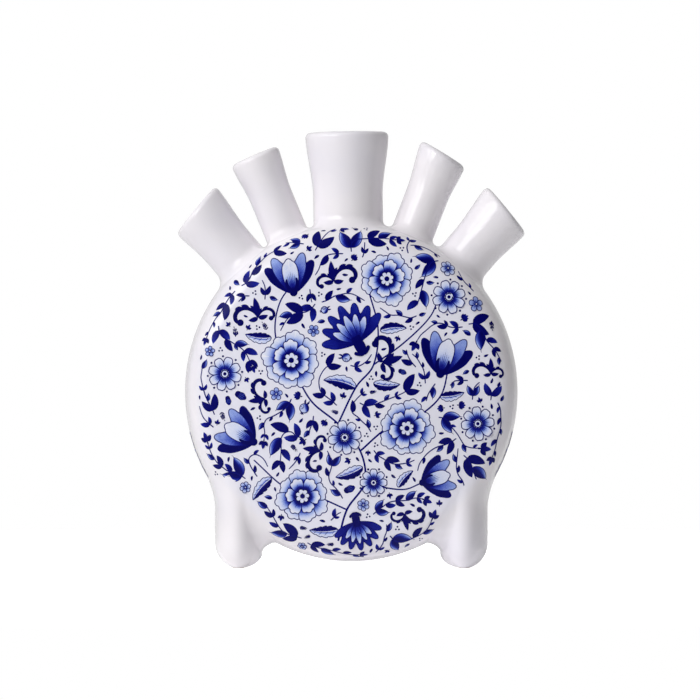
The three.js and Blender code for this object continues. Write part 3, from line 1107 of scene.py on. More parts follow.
def tulip(paint, base, angle, size):
    """Half open, from the side: dark petals behind, then paler ones, and a light one in front."""
    base = np.asarray(base, float)
    for hand in (-1, 1):
        petal(paint, base, angle + hand * 0.72, size * 0.92, size * 0.36, 3, 0.12, 0.3,
              (1.1, 0.2, 0.8), 1.0, 0.9)
    for hand in (-1, 1):
        petal(paint, base, angle + hand * 0.40, size, size * 0.38, 3, 0.10, 0.35,
              (1.1, 0.05, 0.45), 0.6, 0.3, streaks=3)
    petal(paint, base, angle, size * 0.84, size * 0.46, 5, 0.08, 0.3,
          (1.0, 0.02, 0.35), 0.22, 0.03, streaks=5)
    root = base - unit(angle) * size * 0.02
    for hand in (-1, 1):
        paint.stroke(bend(root, angle + 0.9 * hand, size * 0.42, -1.2 * hand, 8), size * 0.13, 1.0, 1, 0.4)
    paint.dot(base, size * 0.10, 1.0)


def carnation(paint, base, angle, size):
    """From the side: two tiers of notched petals on a long calyx."""
    base = np.asarray(base, float)
    for count, spread, length, pale, rim in ((7, 2.3, 1.0, 0.95, 0.7), (5, 1.5, 0.74, 0.4, 0.06)):
        for aside in outer_first(count):
            grown = size * length * (1 - 0.1 * abs(aside))
            root = base + unit(angle) * size * 0.12
            petal(paint, root, angle + aside * spread / 2, grown, size * 0.34 * length, 3, 0.16, 0.6,
                  (0.95, 0.15, 0.5), pale, rim, streaks=1)
    calyx = base - unit(angle) * size * 0.22
    swell = np.array([0.5, 0.8, 1, 1.05, 1.05, 1.0, 0.95, 0.8])
    paint.ribbon(bend(calyx, angle, size * 0.5, 0, len(swell)), size * 0.13 * swell, 0.98)
    for aside in (-1, 1):
        sepal = bend(calyx, angle + aside * 1.3, size * 0.26, -aside * 0.8, 6)
        paint.stroke(sepal, size * 0.1, 0.97, 0.5, 1)


for motif in (tulip, carnation):
    print("touches:", motif.__name__, touches_of(motif, 18))

# %% [markdown]
# ## Leaves, buds and scrolls
# Between the flowers the painter fills every gap. Dark leaves are one full touch of the brush, shaded
# ones have a pale half, and large ones have teeth and a rib. Each is a ribbon along a bent spine, whose
# width follows a sine, so it starts and ends in a point.

# %% Leaves
def ribbon_edge(spine, half):
    """The closed edge of a ribbon."""
    side = beside(spine) * half[:, None]
    return np.vstack([spine + side, (spine - side)[::-1]])


def leaf(paint, base, angle, length, width, curl, dark=1):
    """A shaded leaf with an outline and a rib, and a tip that runs out in a thin line."""
    spine = bend(base, angle, length, curl, 14)
    share = np.linspace(0, 1, len(spine))
    half = width / 2 * np.sin(pi * share**0.85) ** 0.8 + 0.02

    def shade(share, aside):
        return np.clip(1.15 - 0.75 * share**1.3 + 0.5 * dark * aside, 0.12, 1)

    paint.ribbon(spine, half, shade, max(4, int(width / film_pitch) + 2))
    paint.outline(ribbon_edge(spine, half), 0.32, 0.88)
    paint.stroke(spine[1:11], 0.34, 0.92, 1, 0.3)
    paint.stroke(bend(spine[-1], angle + curl, length * 0.16, curl * 0.4, 5), 0.28, 0.85, 1, 0.3)


def solid_leaf(paint, base, angle, length, width, curl, light=0.0):
    """A leaf in one dark touch, that may grow lighter towards its tip."""
    spine = bend(base, angle, length, curl, max(7, int(length * 1.2)))
    half = width / 2 * np.sin(pi * np.linspace(0, 1, len(spine)) ** 0.8) ** 0.75 + 0.02
    paint.ribbon(spine, half, lambda share, aside: 0.97 - (0.07 + light) * share + 0 * aside)


def broad_leaf(paint, base, angle, length, width, curl, dark, teeth=5):
    """A large toothed leaf, one half dark and the other a light wash, with a pale rib and veins."""
    spine = bend(base, angle, length, curl, 6 * teeth + 1)
    share = np.linspace(0, 1, len(spine))
    tooth = 1 - 0.24 * (share * teeth % 1) ** 1.5 * (share < 0.999)
    half = width / 2 * np.sin(pi * share**0.75) ** 0.8 * tooth + 0.02

    def shade(share, aside):
        return np.clip(0.72 + 0.55 * dark * np.sign(aside) - 0.1 * share, 0.12, 1)

    paint.ribbon(spine, half, shade, 5)
    paint.outline(ribbon_edge(spine, half), 0.34, 0.92)
    paint.stroke(spine[1:-2], 0.42, 0.1, 1, 0.3)
    for k in range(1, teeth):
        i = int(len(spine) * (k - 0.2) / teeth)
        paint.stroke(bend(spine[i], heading(spine, i) - dark * 0.7, half[i], 0.2, 4), 0.3, 0.85, 1, 0.3)


print("touches: leaf", touches_of(leaf, 9, 4, 0.5), "broad leaf", touches_of(broad_leaf, 13, 5, 0.5, 1))

# %% [markdown]
# Smaller leaves come in groups: three or five on a short stalk, or in pairs along a line.

# %% Small leaves and stems
def trefoil(paint, base, angle, size, lobes=3):
    """A solid leaf of a few lobes on a short stalk."""
    base = np.asarray(base, float)
    heart = base + unit(angle) * size * 0.3
    paint.stroke(np.array([base, heart]), size * 0.12, 0.95, 1, 1)
    for aside in outer_first(lobes):
        length = size * (0.72 - 0.14 * abs(aside))
        solid_leaf(paint, heart - unit(angle) * size * 0.03, angle + aside * 1.05, length, size * 0.36,
                   -0.35 * aside, 0.2 * (1 - abs(aside)))


def frond(paint, line, size):
    """Pairs of round-ended leaflets along a line, that shrink towards its end."""
    paint.stroke(line, 0.55, 0.95, 1, 0.6)
    run = evenly(line, 0.5)
    count = max(2, int(len(run) * 0.5 / (size * 0.42)))
    for k in range(count):
        share = (k + 0.7) / (count + 0.6)
        i = int(share * (len(run) - 1))
        grown = size * (1 - 0.45 * share)
        for hand in (-1, 1):
            leaflet = bend(run[i], heading(run, i) + hand * 1.05, grown, -hand * 0.6, 7)
            paint.stroke(leaflet, grown * 0.38, 0.97, 0.3, 1)
    paint.stroke(bend(run[-1], heading(run, len(run) - 2), size * 0.5, 0, 5), size * 0.24, 0.97, 0.5, 1)


def stem(paint, points, width=0.42):
    """A thin line through points that are given."""
    paint.stroke(smooth(points, 12 * len(points)), width, 0.86, 1, 0.8)


print("touches: trefoil", touches_of(trefoil, 5))

# %% [markdown]
# Buds and fruit end the sprays. Both are a wash inside an outline, darker on the side away from the
# light, with a few small touches that say what they are.

# %% Buds and fruit
def bud(paint, base, angle, size):
    """A closed bud, solid but for a few light streaks, between two small sepals."""
    base = np.asarray(base, float)
    way = unit(angle)
    side = np.array([-way[1], way[0]])
    for aside in (-1, 1):
        sepal = base - way * size * 0.04
        solid_leaf(paint, sepal, angle + aside * 0.95, size * 0.5, size * 0.17, -aside * 0.8)
    edge = petal_edge(base, angle, size, size * 0.74, 3, 0.2, 0.35)

    def shade(grid):
        return np.clip(1.0 - 0.12 * ((grid - base) @ way) / size, 0, 1)

    paint.wash(edge, base + way * size * 0.45, shade)
    for aside in (-0.8, -0.3, 0.3, 0.8):
        start = base + way * size * 0.30 + side * size * 0.13 * aside
        end = base + way * size * (0.80 - 0.12 * abs(aside)) + side * size * 0.30 * aside
        paint.stroke(np.array([start, end]), 0.3, 0.6, 0.3, 1)


def fruit(paint, centre, angle, size):
    """A pale fruit, shaded on one side, with a small crown and two leaves."""
    centre = np.asarray(centre, float)
    way, shade_way = unit(angle), unit(angle + 2.3)
    edge = circle(centre, size, 22)

    def shade(grid):
        away = np.clip((grid - centre) @ shade_way / size - 0.05, 0, 1)
        return np.clip(0.2 + 0.9 * away**0.8, 0, 1)

    for aside in (-1, 1):
        stalk = centre - way * size * 0.9
        solid_leaf(paint, stalk, angle + pi + aside, size * 1.25, size * 0.42, -aside * 1.3)
    paint.wash(edge, centre, shade)
    paint.outline(edge, 0.42, 0.92)
    for k in range(3):
        crown = bend(centre + way * size * 0.95, angle + (k - 1) * 0.7, size * 0.55, 0, 5)
        paint.stroke(crown, size * 0.26, 0.97, 0.6, 1)
        for j in range(2):
            paint.dot(centre + unit(angle + 3.9 + k * 0.7) * size * (0.32 + 0.33 * j), 0.24, 0.8)


print("touches: bud", touches_of(bud, 6), "fruit", touches_of(fruit, 3))

# %% [markdown]
# The strong dark scrolls give the eye something heavy to rest on among the small touches. A scroll is a
# line whose radius shrinks as it turns, until it ends in a ball. Two of them that part from one root make
# a curling leaf like that of bear's breech.

# %% Scrolls
def scroll(paint, base, angle, size, hand, lobes):
    """A thick line that winds in to a ball, its radius shrinking as it turns, with lobes outside."""
    sweep, last, count = 4.4, 0.2, 40     # radians in all, the share of the radius at the end, points
    turn = np.linspace(0, sweep, count)
    radius = size * 0.46 * last ** (turn / sweep)
    way = angle + hand * turn
    steps = np.stack([np.cos(way), np.sin(way)], 1) * (radius * sweep / (count - 1))[:, None]
    line = np.asarray(base, float) + np.vstack([[0, 0], np.cumsum((steps[1:] + steps[:-1]) / 2, 0)])
    for k in range(lobes):
        i = int(count * (0.06 + 0.13 * k))
        toward = heading(line, i) - hand * 0.55
        solid_leaf(paint, line[i], toward, size * (0.26 - 0.03 * k), size * 0.10, hand * 0.9)
    swell = 0.3 + 0.75 * np.sin(pi * np.linspace(0.05, 0.9, count)) ** 0.7
    paint.ribbon(line, size * 0.052 * swell, 1.0, 3)
    paint.dot(line[-1], size * 0.085, 1.0)


def acanthus(paint, base, angle, size, hand):
    """A large scroll and a small one that part from one root, with a leaf in the fork."""
    base = np.asarray(base, float)
    scroll(paint, base, angle + 0.2 * hand, size, hand, 3)
    scroll(paint, base, angle - 0.5 * hand, size * 0.7, -hand, 2)
    solid_leaf(paint, base, angle - 0.15 * hand, size * 0.5, size * 0.17, 0.2 * hand)
    for aside in (-1, 1):
        solid_leaf(paint, base, angle - aside * 2.0 * hand, size * 0.26, size * 0.12, aside * 0.8 * hand)


print("touches of a curling leaf", touches_of(acanthus, 18, 1))

# %% [markdown]
# ## Filling the ground
# The large motifs are placed one by one, as a painter pounces them on. The rest grows: a map of the bare
# ground knows how far every spot is from the nearest paint, sprays of leaves feel their way through the
# widest gaps, and what is left takes a blossom, a leaf or a dot that just fits. Each start turns on by
# the golden angle, so neighbours never look alike, and nothing is drawn by chance. The roots of the feet
# cover two corners of the face, so no motif may run in under them and look cut.

# %% The ground
side_reach = 70.2     # from the middle of the face to the outermost paint, at the sides
top_reach = 76.5      # the same, at the top and the bottom
least_gap = 1.15      # of bare ground between two motifs
root_place = (57, -62)      # middle of the root of the right foot, on the plan of the face
root_reach = 18.0     # how far the root covers the face
edge_allowance = 0.5  # paint may come this much nearer to the border of the ground than to other paint
spot_pitch = 0.7      # between the spots of the map
look_round = 9.0      # how far from new paint the map is brought up to date
golden_angle = pi * (3 - sqrt(5))


class Ground:
    """How far each spot of the face is from the nearest paint."""

    def __init__(self):
        self.low = -top_reach
        spots = np.arange(self.low, top_reach + spot_pitch, spot_pitch)
        self.x, self.y = np.meshgrid(spots, spots, indexing="ij")
        away = np.hypot(self.x, self.y)
        reach = side_reach + (top_reach - side_reach) * np.abs(self.y) / np.maximum(away, 1e-6)
        self.free = reach - away + edge_allowance
        for x in (root_place[0], -root_place[0]):
            root = np.hypot(self.x - x, self.y - root_place[1]) - root_reach
            self.free = np.minimum(self.free, root)
        self.seen = 0

    def look(self, paint):
        """Take in the films that are new since the last look."""
        for grid, *_ in paint.films[self.seen:]:
            points = grid.reshape(-1, 2)
            first = ((points.min(0) - look_round - self.low) / spot_pitch).astype(int)
            last = ((points.max(0) + look_round - self.low) / spot_pitch).astype(int) + 2
            first, last = np.clip(first, 0, len(self.x) - 1), np.clip(last, 0, len(self.x))
            part = (slice(first[0], last[0]), slice(first[1], last[1]))
            x, y, free = self.x[part], self.y[part], self.free[part]
            for point_x, point_y in points:
                np.minimum(free, np.hypot(x - point_x, y - point_y), out=free)
        self.seen = len(paint.films)

    def room(self, spot):
        """How far the nearest paint is from this spot."""
        i, j = np.rint((np.asarray(spot) - self.low) / spot_pitch).astype(int)
        if min(i, j) < 0 or max(i, j) >= len(self.x):
            return -1.0
        return self.free[i, j]

    def widest(self):
        """The spot with the most bare ground round it, and how much that is."""
        i, j = np.unravel_index(np.argmax(self.free), self.free.shape)
        return np.array([self.x[i, j], self.y[i, j]]), self.free[i, j]


print("the map of the ground has", Ground().free.size, "spots")

# %% [markdown]
# A spray is a stem that looks ahead a few millimetres, bends to where the ground is widest, and puts a
# pair of leaves wherever they fit. What stands at its end depends on the room that is left.

# %% Sprays
feel_ahead = 3.2      # how far a growing stem looks
feel_turns = (-0.4, -0.2, 0.0, 0.2, 0.4)
straightness = 1.2    # millimetres of ground that a turn of one radian has to gain
stem_room = 1.3       # the least in which a stem goes on
least_leaf = 2.6      # the shortest leaf, and the least room for a flower at the end of a spray
spray_length = 24
leaf_spacing = 5      # between the pairs of leaves on a spray


def grow(ground, start, angle, length):
    """A line that feels its way along the middle of the bare ground, by steps of one millimetre."""
    at = np.asarray(start, float)
    points = [at]
    for _ in range(length):
        worth = []
        for turn in feel_turns:
            worth.append(ground.room(at + unit(angle + turn) * feel_ahead) - straightness * abs(turn))
        angle += feel_turns[int(np.argmax(worth))]
        if ground.room(at + unit(angle)) < stem_room:
            break
        at = at + unit(angle)
        points.append(at)
    return np.array(points), angle


def leaf_room(ground, base, angle, length, width):
    """How long a leaf can be here before it comes too near other paint."""
    gap = 0.7 * least_gap
    while length > least_leaf:
        middle, tip = (base + unit(angle) * length * share for share in (0.6, 1.05))
        if ground.room(middle) > width * length / 2 + gap and ground.room(tip) > gap:
            return length
        length *= 0.86
    return 0.0


def flower(paint, at, room, angle, pick):
    """A blossom, a bud or a fruit that fits in this room."""
    kind = pick % 6
    if kind in (1, 4):
        bud(paint, at - unit(angle) * room * 0.8, angle, room * 1.75)
    elif kind == 3:
        fruit(paint, at, angle, min(room * 0.68, 3.9))
    else:
        blossom(paint, at, angle, room, 5 + (kind == 2), {0: 0.3, 2: 0.2, 5: 0.45}[kind])


def spray(paint, ground, start, angle, length, turn):
    """A stem with leaves on both sides and something at its end."""
    line, last = grow(ground, start, angle, length)
    if len(line) < 6:
        return False
    mark = len(paint.films)
    side = 1 if turn % 2 else -1
    leaves = 0
    for k, i in enumerate(range(2, len(line) - 1, leaf_spacing)):
        for side in (side, -side):
            kind = (k + turn) % 3
            way = heading(line, i) + side * (0.75 if kind else 0.95)
            size = leaf_room(ground, line[i], way, 9.0 if kind else 7.0, 0.5)
            if size == 0.0:
                continue
            leaves += 1
            if kind == 2:
                leaf(paint, line[i], way, size, size * 0.5, -side * 0.4, -side)
            elif kind == 1:
                solid_leaf(paint, line[i], way, size, size * 0.46, -side * 0.5)
            else:
                solid_leaf(paint, line[i], way, size * 0.95, size * 0.44, -side * 0.6, 0.25)
            ground.look(paint)
    if leaves < 2:
        del paint.films[mark:]
        ground.seen = mark
        return False
    ahead = line[-1] + unit(last) * feel_ahead
    room = ground.room(ahead) - least_gap
    if room > least_leaf:
        flower(paint, ahead, min(room, 6.2), last, turn)
    elif room > 1.0:
        trefoil(paint, line[-1], last, min(2 * room + 2, 6.5))
    stem(paint, line[::3] if len(line) > 8 else line, 0.55)
    ground.look(paint)
    return True


bare = Ground()
print("a spray over bare ground is", len(grow(bare, (0, 0), 0, spray_length)[0]), "millimetres long")

# %% [markdown]
# The sprays go first, where the ground is widest. Then single flowers, leaves and dots take the gaps, the
# widest first, down to the least one that a brush fits.

# %% Filling the gaps
most_sprays, most_fillings = 70, 700
spray_room = 3.2      # the least bare ground for a spray
flower_room = 2.3     # for a single flower, beside the gap round it
group_room = 1.3      # for a group of leaves
least_room = 0.9      # for a leaf or three dots


def fill(paint, turn):
    """Sprays through the widest ground, and then what fits in the rest."""
    ground = Ground()
    ground.look(paint)
    for k in range(most_sprays):
        at, room = ground.widest()
        if room < spray_room:
            break
        turn += golden_angle
        if not spray(paint, ground, at - unit(turn) * room * 0.5, turn, spray_length, k):
            flower(paint, at, room - least_gap, turn, k)
            ground.look(paint)
    for k in range(most_fillings):
        at, room = ground.widest()
        room -= least_gap
        if room < least_room:
            break
        turn += golden_angle
        back = at - unit(turn) * room
        if room > flower_room:
            flower(paint, at, room, turn, k)
        elif room > group_room and k % 4 == 0:
            frond(paint, bend(back, turn, room * 1.9, 0.5, 8), room * 0.9)
        elif room > group_room and k % 4 == 3:
            leaf(paint, back, turn, room * 2.0, room * 0.95, 0.4)
        elif room > group_room:
            trefoil(paint, back, turn, room * 2.1, 5 if room > 1.7 else 3)
        elif k % 3:
            solid_leaf(paint, back, turn, room * 2.3, room * 0.95, 0.5)
        else:
            for j in range(3):
                paint.dot(at + unit(turn + j * tau / 3) * 0.8, 0.42)
        ground.look(paint)


print("every start turns on by", round(degrees(golden_angle), 1), "degrees")

# %% [markdown]
# ## The two paintings
# One plan serves for both faces, as a workshop would use one pounced pattern twice. The second face has
# it turned round and filled anew. The stems come first, because they lie under everything.

# %% The plan
stems = (
    (0.9, (-6, -66), (-2, -52), (6, -40), (4, -26), (-6, -14), (-18, -4), (-26, 10)),
    (0.8, (4, -26), (16, -16), (28, -12), (40, -2), (44, 12)),
    (0.8, (-6, -14), (2, 2), (10, 12), (12, 28), (8, 44)),
    (0.7, (6, -40), (14, -42), (24, -43), (32, -40)),
    (0.7, (-2, -52), (-16, -46), (-30, -42), (-44, -30)),
    (0.7, (-26, 10), (-34, 24), (-32, 40), (-22, 52)),
    (0.7, (10, 12), (24, 22), (36, 34), (40, 46)),
)
# Place, direction in degrees, length, curl and which half is dark
broad_leaves = (
    ((2, 2), 150, 15, 0.6, 1),
    ((10, 4), -20, 12, 0.6, -1),
    ((5, -33), 215, 13, -0.5, 1),
    ((40, -2), -5, 11, 0.5, 1),
    ((-36, 24), 190, 12, -0.6, -1),
    ((13, 27), 20, 12, -0.5, 1),
    ((-36, -38), 215, 13, 0.5, 1),
    ((21, -42), 64, 10, -0.6, -1),
    ((-6, -61), 195, 13, -0.5, -1),
)
# Motif, place, direction in degrees and size
large_motifs = (
    (peony, (-27, 14), 23, 12.5),
    (peony, (25, -16), 63, 12.0),
    (peony, (16, 50), 6, 11.5),
    (peony, (-22, -46), 46, 11.5),
    (tulip, (40, 8), 75, 19.0),
    (tulip, (-44, -22), 150, 18.0),
    (tulip, (32, -40), 16, 15.5),
    (carnation, (4, 20), 118, 18.0),
    (tulip, (-26, 44), 100, 18.0),
    (carnation, (2, -56), -80, 13.0),
    (daisy, (-3, -20), 11, 8.0),
    (daisy, (-57, 8), 29, 8.0),
    (daisy, (57, -14), 6, 8.0),
    (daisy, (44, 42), 17, 8.0),
    (daisy, (10, -40), 0, 6.5),
)
# Place, direction in degrees, size and the hand that it winds with
scrolls = (
    ((14, 13), 20, 19.0, 1),
    ((-39, -3), 185, 15.0, -1),
    ((-42, 33), 105, 18.0, 1),
    ((24, -54), -75, 15.0, 1),
    ((-8, 49), 95, 18.0, -1),
    ((-14, -26), 175, 16.0, 1),
    ((63, 8), 95, 14.0, 1),
)
# Distance from the middle of the face, direction there and direction of growth in degrees
sprigs = ((88, 201, 105), (87, 207, 111), (86, 213, 117), (87, -21, 75), (86, -27, 69), (85, -33, 63))
sprig_size = 8.5


def sprig(paint, away, around, way, size):
    """Leaves on a stem and a bud, where the painting runs over on to the edge."""
    line = bend(unit(around) * away, way, size, 0.3)
    stem(paint, line[::5])
    for step, hand in ((3, 1), (5, -1), (9, 1), (11, -1)):
        solid_leaf(paint, line[step], way + 0.9 * hand, size * 0.42, size * 0.2, -0.5 * hand)
    bud(paint, line[-1], way, size * 0.4)


for name, motifs in (("stems", stems), ("flowers", large_motifs), ("broad leaves", broad_leaves)):
    print("placed by hand:", len(motifs), name)

# %% [markdown]
# Now the two faces can be painted. Each film is one touch of the brush, so the counts that are printed
# say how much work such a face is.

# %% Painting both faces
leaf_slimness = 0.41      # the width of a broad leaf for its length
first_direction = 0.7     # of the first spray, in radians
back_turn = radians(205)  # of the plan on the back


def paint_face(turn):
    """The whole painting of one face, with the plan turned round its middle."""
    paint = Painting()
    for width, *points in stems:
        stem(paint, points, width)
    for place, way, length, curl, dark in broad_leaves:
        broad_leaf(paint, place, radians(way), length, length * leaf_slimness, curl, dark)
    for motif, place, way, size in large_motifs:
        motif(paint, place, radians(way), size)
    for place, way, size, hand in scrolls:
        acanthus(paint, place, radians(way), size, hand)
    paint.films = [(grid @ rotation(turn), cobalt, closed) for grid, cobalt, closed in paint.films]
    fill(paint, first_direction + turn)
    for away, around, way in sprigs:
        sprig(paint, away, radians(around), radians(way), sprig_size)
    return paint


front_painting = paint_face(0.0)
back_painting = paint_face(back_turn)
print("touches on the front", len(front_painting.films), "and on the back", len(back_painting.films))

# %% [markdown]
# ## Bending the films over the disc
# A film is a closed, very thin solid. The top of most lies within a tenth of a millimetre of the glaze,
# and below it narrows to a keel that is sunk in the glaze, so no gap shows under its edge. Where touches
# lie on each other, the later one has to be a little higher, so a map of small cells counts how many are
# there already. On the tight turn to the edge the steps are larger, because flat facets cut deeper there.

# %% Films on the disc
film_rise = 0.03      # from the glaze to the lowest touch
film_step = 0.006     # between touches that lie on each other, on the face
turn_step = 0.018     # the same, on the turn to the edge
keel_depth = 0.08     # of the keel below the glaze
cell = 0.8            # of the map
next_film = 31.7      # each film starts this much further along the noise of the bristles


def levels_of(films):
    """How many touches lie under each one, itself included."""
    highest = {}
    levels = []
    for grid, _, closed in films:
        rows = np.concatenate([grid, grid[:, :1]], 1) if closed else grid
        rows = np.concatenate([rows, (rows[:, 1:] + rows[:, :-1]) / 2], 1)
        rows = np.concatenate([rows, (rows[1:] + rows[:-1]) / 2], 0)
        cells = {tuple(c) for c in np.floor(rows.reshape(-1, 2) / cell).astype(int).tolist()}
        level = 1 + max(highest.get(c, 0) for c in cells)
        highest.update(dict.fromkeys(cells, level))
        levels.append(level)
    return levels


def on_disc(plan, lift, side):
    """Points of the plan of one face, lifted above the skin. side is -1 for the front and 1 for the back."""
    run = np.hypot(*plan.T)
    way = plan / np.maximum(run, 1e-9)[:, None]
    out, depth = along_section(run, lift)
    height = way[:, 1] * out * disc_stretch + disc_centre_height
    return np.stack([-side * way[:, 0] * out, side * depth, height], 1)


def bristle_marks(grid, closed, number):
    """For each point of a film, which bristle of the brush passed there, in millimetres across the touch."""
    columns = grid.shape[1]
    across = np.arange(columns) * film_pitch
    if closed:
        across = np.minimum(across, across[::-1] + film_pitch)
    return np.broadcast_to(across + next_film * number, grid.shape[:2])


highest_level = max(levels_of(front_painting.films))
print("on the face the paint stands at most", round(film_rise + highest_level * film_step, 2), "high")

# %% [markdown]
# A touch is an open band, a line that closes on itself, or a wash that is drawn together to one point.
# Each has faces on top, and more that go down from its edge to the keel under its middle.

# %% The faces of a film
def film_parts(grid, cobalt, closed):
    """A film as plan points with their cobalt, its top first and then its keel, and its faces. A face has
    a list of points, and for each the row and column of the grid that it takes its colour from."""
    rows, columns = grid.shape[:2]
    wash = closed and np.allclose(grid[0], grid[0, 0])
    top, strength = grid.reshape(-1, 2), cobalt.reshape(-1, cobalt.shape[-1])
    index = np.arange(rows * columns).reshape(rows, columns)
    if wash:
        top, strength = top[columns - 1:], strength[columns - 1:]
        index = np.maximum(index - columns + 1, 0)
    if closed:
        index = np.concatenate([index, index[:, :1]], 1)
    keel = len(top)
    faces = []
    for i in range(rows - 1):
        for j in range(index.shape[1] - 1):
            spots = [(i, j), (i + 1, j), (i + 1, j + 1), (i, j + 1)]
            spots = spots[:3] if wash and i == 0 else spots
            faces.append(([index[spot] for spot in spots], spots))
    last = rows - 1
    if wash:
        low, low_cobalt = grid[:1, 0], cobalt[:1, 0]
        for j in range(columns):
            faces.append(([index[last, j], keel, index[last, j + 1]], [(last, j), (last, j), (last, j + 1)]))
    elif closed:
        low, low_cobalt = grid.mean(0), cobalt.mean(0)
        for j in range(columns):
            k, n = keel + j, keel + (j + 1) % columns
            faces.append(([index[0, j], index[0, j + 1], n, k], [(0, j), (0, j + 1), (0, j + 1), (0, j)]))
            faces.append(([index[1, j + 1], index[1, j], k, n], [(1, j + 1), (1, j), (1, j), (1, j + 1)]))
    else:
        low, low_cobalt = (grid[:, 0] + grid[:, -1]) / 2, (cobalt[:, 0] + cobalt[:, -1]) / 2
        far = columns - 1
        for i in range(last):
            k = keel + i
            spots = [(i + 1, 0), (i, 0), (i, 0), (i + 1, 0)]
            faces.append(([index[i + 1, 0], index[i, 0], k, k + 1], spots))
            spots = [(i, far), (i + 1, far), (i + 1, far), (i, far)]
            faces.append(([index[i, far], index[i + 1, far], k + 1, k], spots))
        ends = [(0, j) for j in range(columns)]
        faces.append(([index[spot] for spot in ends] + [keel], ends + [(0, far)]))
        ends = [(last, j) for j in range(far, -1, -1)]
        faces.append(([index[spot] for spot in ends] + [keel + last], ends + [(last, 0)]))
    return top, strength, low, low_cobalt, faces


trial_grid, trial_cobalt, trial_closed = trial.films[0]
print("a dot has", len(film_parts(trial_grid, trial_cobalt[..., None], trial_closed)[-1]), "faces")

# %% [markdown]
# Each film also gets a place of its own on a flat chart, the size that it really is: a wash as it lies,
# and a line pulled straight. The charts stand side by side on shelves, the tall ones first, as books do.
# With that map the colours can be baked into one picture, without one touch printing through another.

# %% Charts of the films
chart_margin = 0.35       # between two charts
shelf_allowance = 1.06    # the square is this much larger than all charts together


def film_chart(grid, closed):
    """A flat place for each row and column of a film, in millimetres."""
    if closed:
        grid = np.concatenate([grid, grid[:, :1]], 1)
        if np.allclose(grid[0], grid[0, 0]):
            return grid - grid.reshape(-1, 2).min(0)
        grid = grid.transpose(1, 0, 2)
    middle = grid.mean(1)
    run = np.append(0, np.cumsum(np.hypot(*np.diff(middle, axis=0).T)))
    wide = np.hypot(*(grid[:, -1] - grid[:, 0]).T).max()
    across = np.linspace(0, wide, grid.shape[1])
    chart = np.stack(np.broadcast_arrays(run[:, None], across[None]), -1)
    return chart.transpose(1, 0, 2) if closed else chart


def shelve(charts):
    """Where each chart stands, and the side of the square that holds them all."""
    sizes = np.array([chart.reshape(-1, 2).max(0) + chart_margin for chart in charts])
    side = max(np.sqrt(sizes.prod(1).sum() * shelf_allowance), sizes[:, 0].max())
    places = np.zeros_like(sizes)
    x = y = shelf = 0.0
    for i in np.argsort(-sizes[:, 1], kind="stable"):
        wide, high = sizes[i]
        if x + wide > side:
            x, y, shelf = 0.0, y + shelf, 0.0
        places[i] = x, y
        x, shelf = x + wide, max(shelf, high)
    return places, max(side, y + shelf)


print("a dot's chart measures", film_chart(trial_grid, trial_closed).reshape(-1, 2).max(0).round(2))

# %% [markdown]
# Last, all films of one face become one mesh. It carries two values at each point: the strength of the
# cobalt, and which bristle passed there, from which the shader makes the fine streaks of a brush.

# %% Building the paintings
def painting_mesh(name, films, side):
    """All films of one face, with their chart and the two values that the shader reads."""
    charts = [film_chart(grid, closed) for grid, _, closed in films]
    places, square = shelve(charts)
    points, paint, faces, spots_on_chart = [], [], [], []
    count = 0
    levels = levels_of(films)
    for number, (film, level, chart, place) in enumerate(zip(films, levels, charts, places)):
        grid, cobalt, closed = film
        film_paint = np.stack([cobalt, bristle_marks(grid, closed, number)], -1)
        top, top_paint, low, low_paint, film_faces = film_parts(grid, film_paint, closed)
        on_turn = np.clip((np.hypot(*top.T) - dome_length) / 2 + 1, 0, 1)
        lift = film_rise + level * (film_step + (turn_step - film_step) * on_turn)
        points += [on_disc(top, lift, side), on_disc(low, -keel_depth, side)]
        paint += [top_paint, low_paint]
        chart = (chart + place + chart_margin / 2) / square
        for corners, spots in film_faces:
            faces.append([count + int(corner) for corner in corners])
            spots_on_chart += [chart[spot] for spot in spots]
        count += len(top) + len(low)
    mesh = mesh_from(name, np.vstack(points), faces)
    for column, attribute in enumerate(("cobalt", "bristle")):
        values = mesh.attributes.new(attribute, "FLOAT", "POINT")
        values.data.foreach_set("value", np.vstack(paint)[:, column].astype(np.float32))
    chart_layer = mesh.uv_layers.new(name="OFBake")
    chart_layer.data.foreach_set("uv", np.array(spots_on_chart, np.float32).ravel())
    triangles = sum(len(face) - 2 for face in faces)
    print(name, triangles, "triangles, chart", round(square), "mm,", max(levels), "touches deep")
    return mesh


painting_pieces = []
for name, painting, side in (("painting_front", front_painting, -1), ("painting_back", back_painting, 1)):
    mesh = painting_mesh(name, painting.films, side)
    painting_pieces.append(add_piece(name, mesh, None))

# %% [markdown]
# ## Cobalt on the glaze
# Cobalt is strong: a thin wash is a milky sky blue, and a full brush fires to a violet-tinged navy. So
# one number, the strength of the cobalt, says it all, and a colour ramp turns it into the colours of the
# fired paint. A wash never dries evenly, which a little noise in the strength gives, and noise across the
# bristles draws the streaks. In the photograph the painting stays deep blue right where the white beside
# it mirrors a lamp. So it is duller here: it mirrors less, and what it mirrors is spread wide. It follows
# the ripple of the white.

# %% Cobalt on the glaze
cobalt_stops = [
    (0.00, colour(238, 238, 248)),
    (0.15, colour(207, 215, 244)),
    (0.30, colour(154, 174, 231)),
    (0.50, colour(76, 97, 198)),
    (0.70, colour(22, 33, 146)),
    (0.85, colour(5, 7, 114)),
    (1.00, colour(0, 0, 86)),
]
paint_gloss = 0.30       # roughness of the fired painting
paint_mirror = 0.12      # what it mirrors, where clear glaze has 0.5
pool_waves, pool_share = 380, 0.22       # waves to a metre, and how far they change the strength
grain_waves, grain_share = 2400, 0.10
mark_waves, mark_share = 2.6, 0.56       # here the waves are to a millimetre across the brush


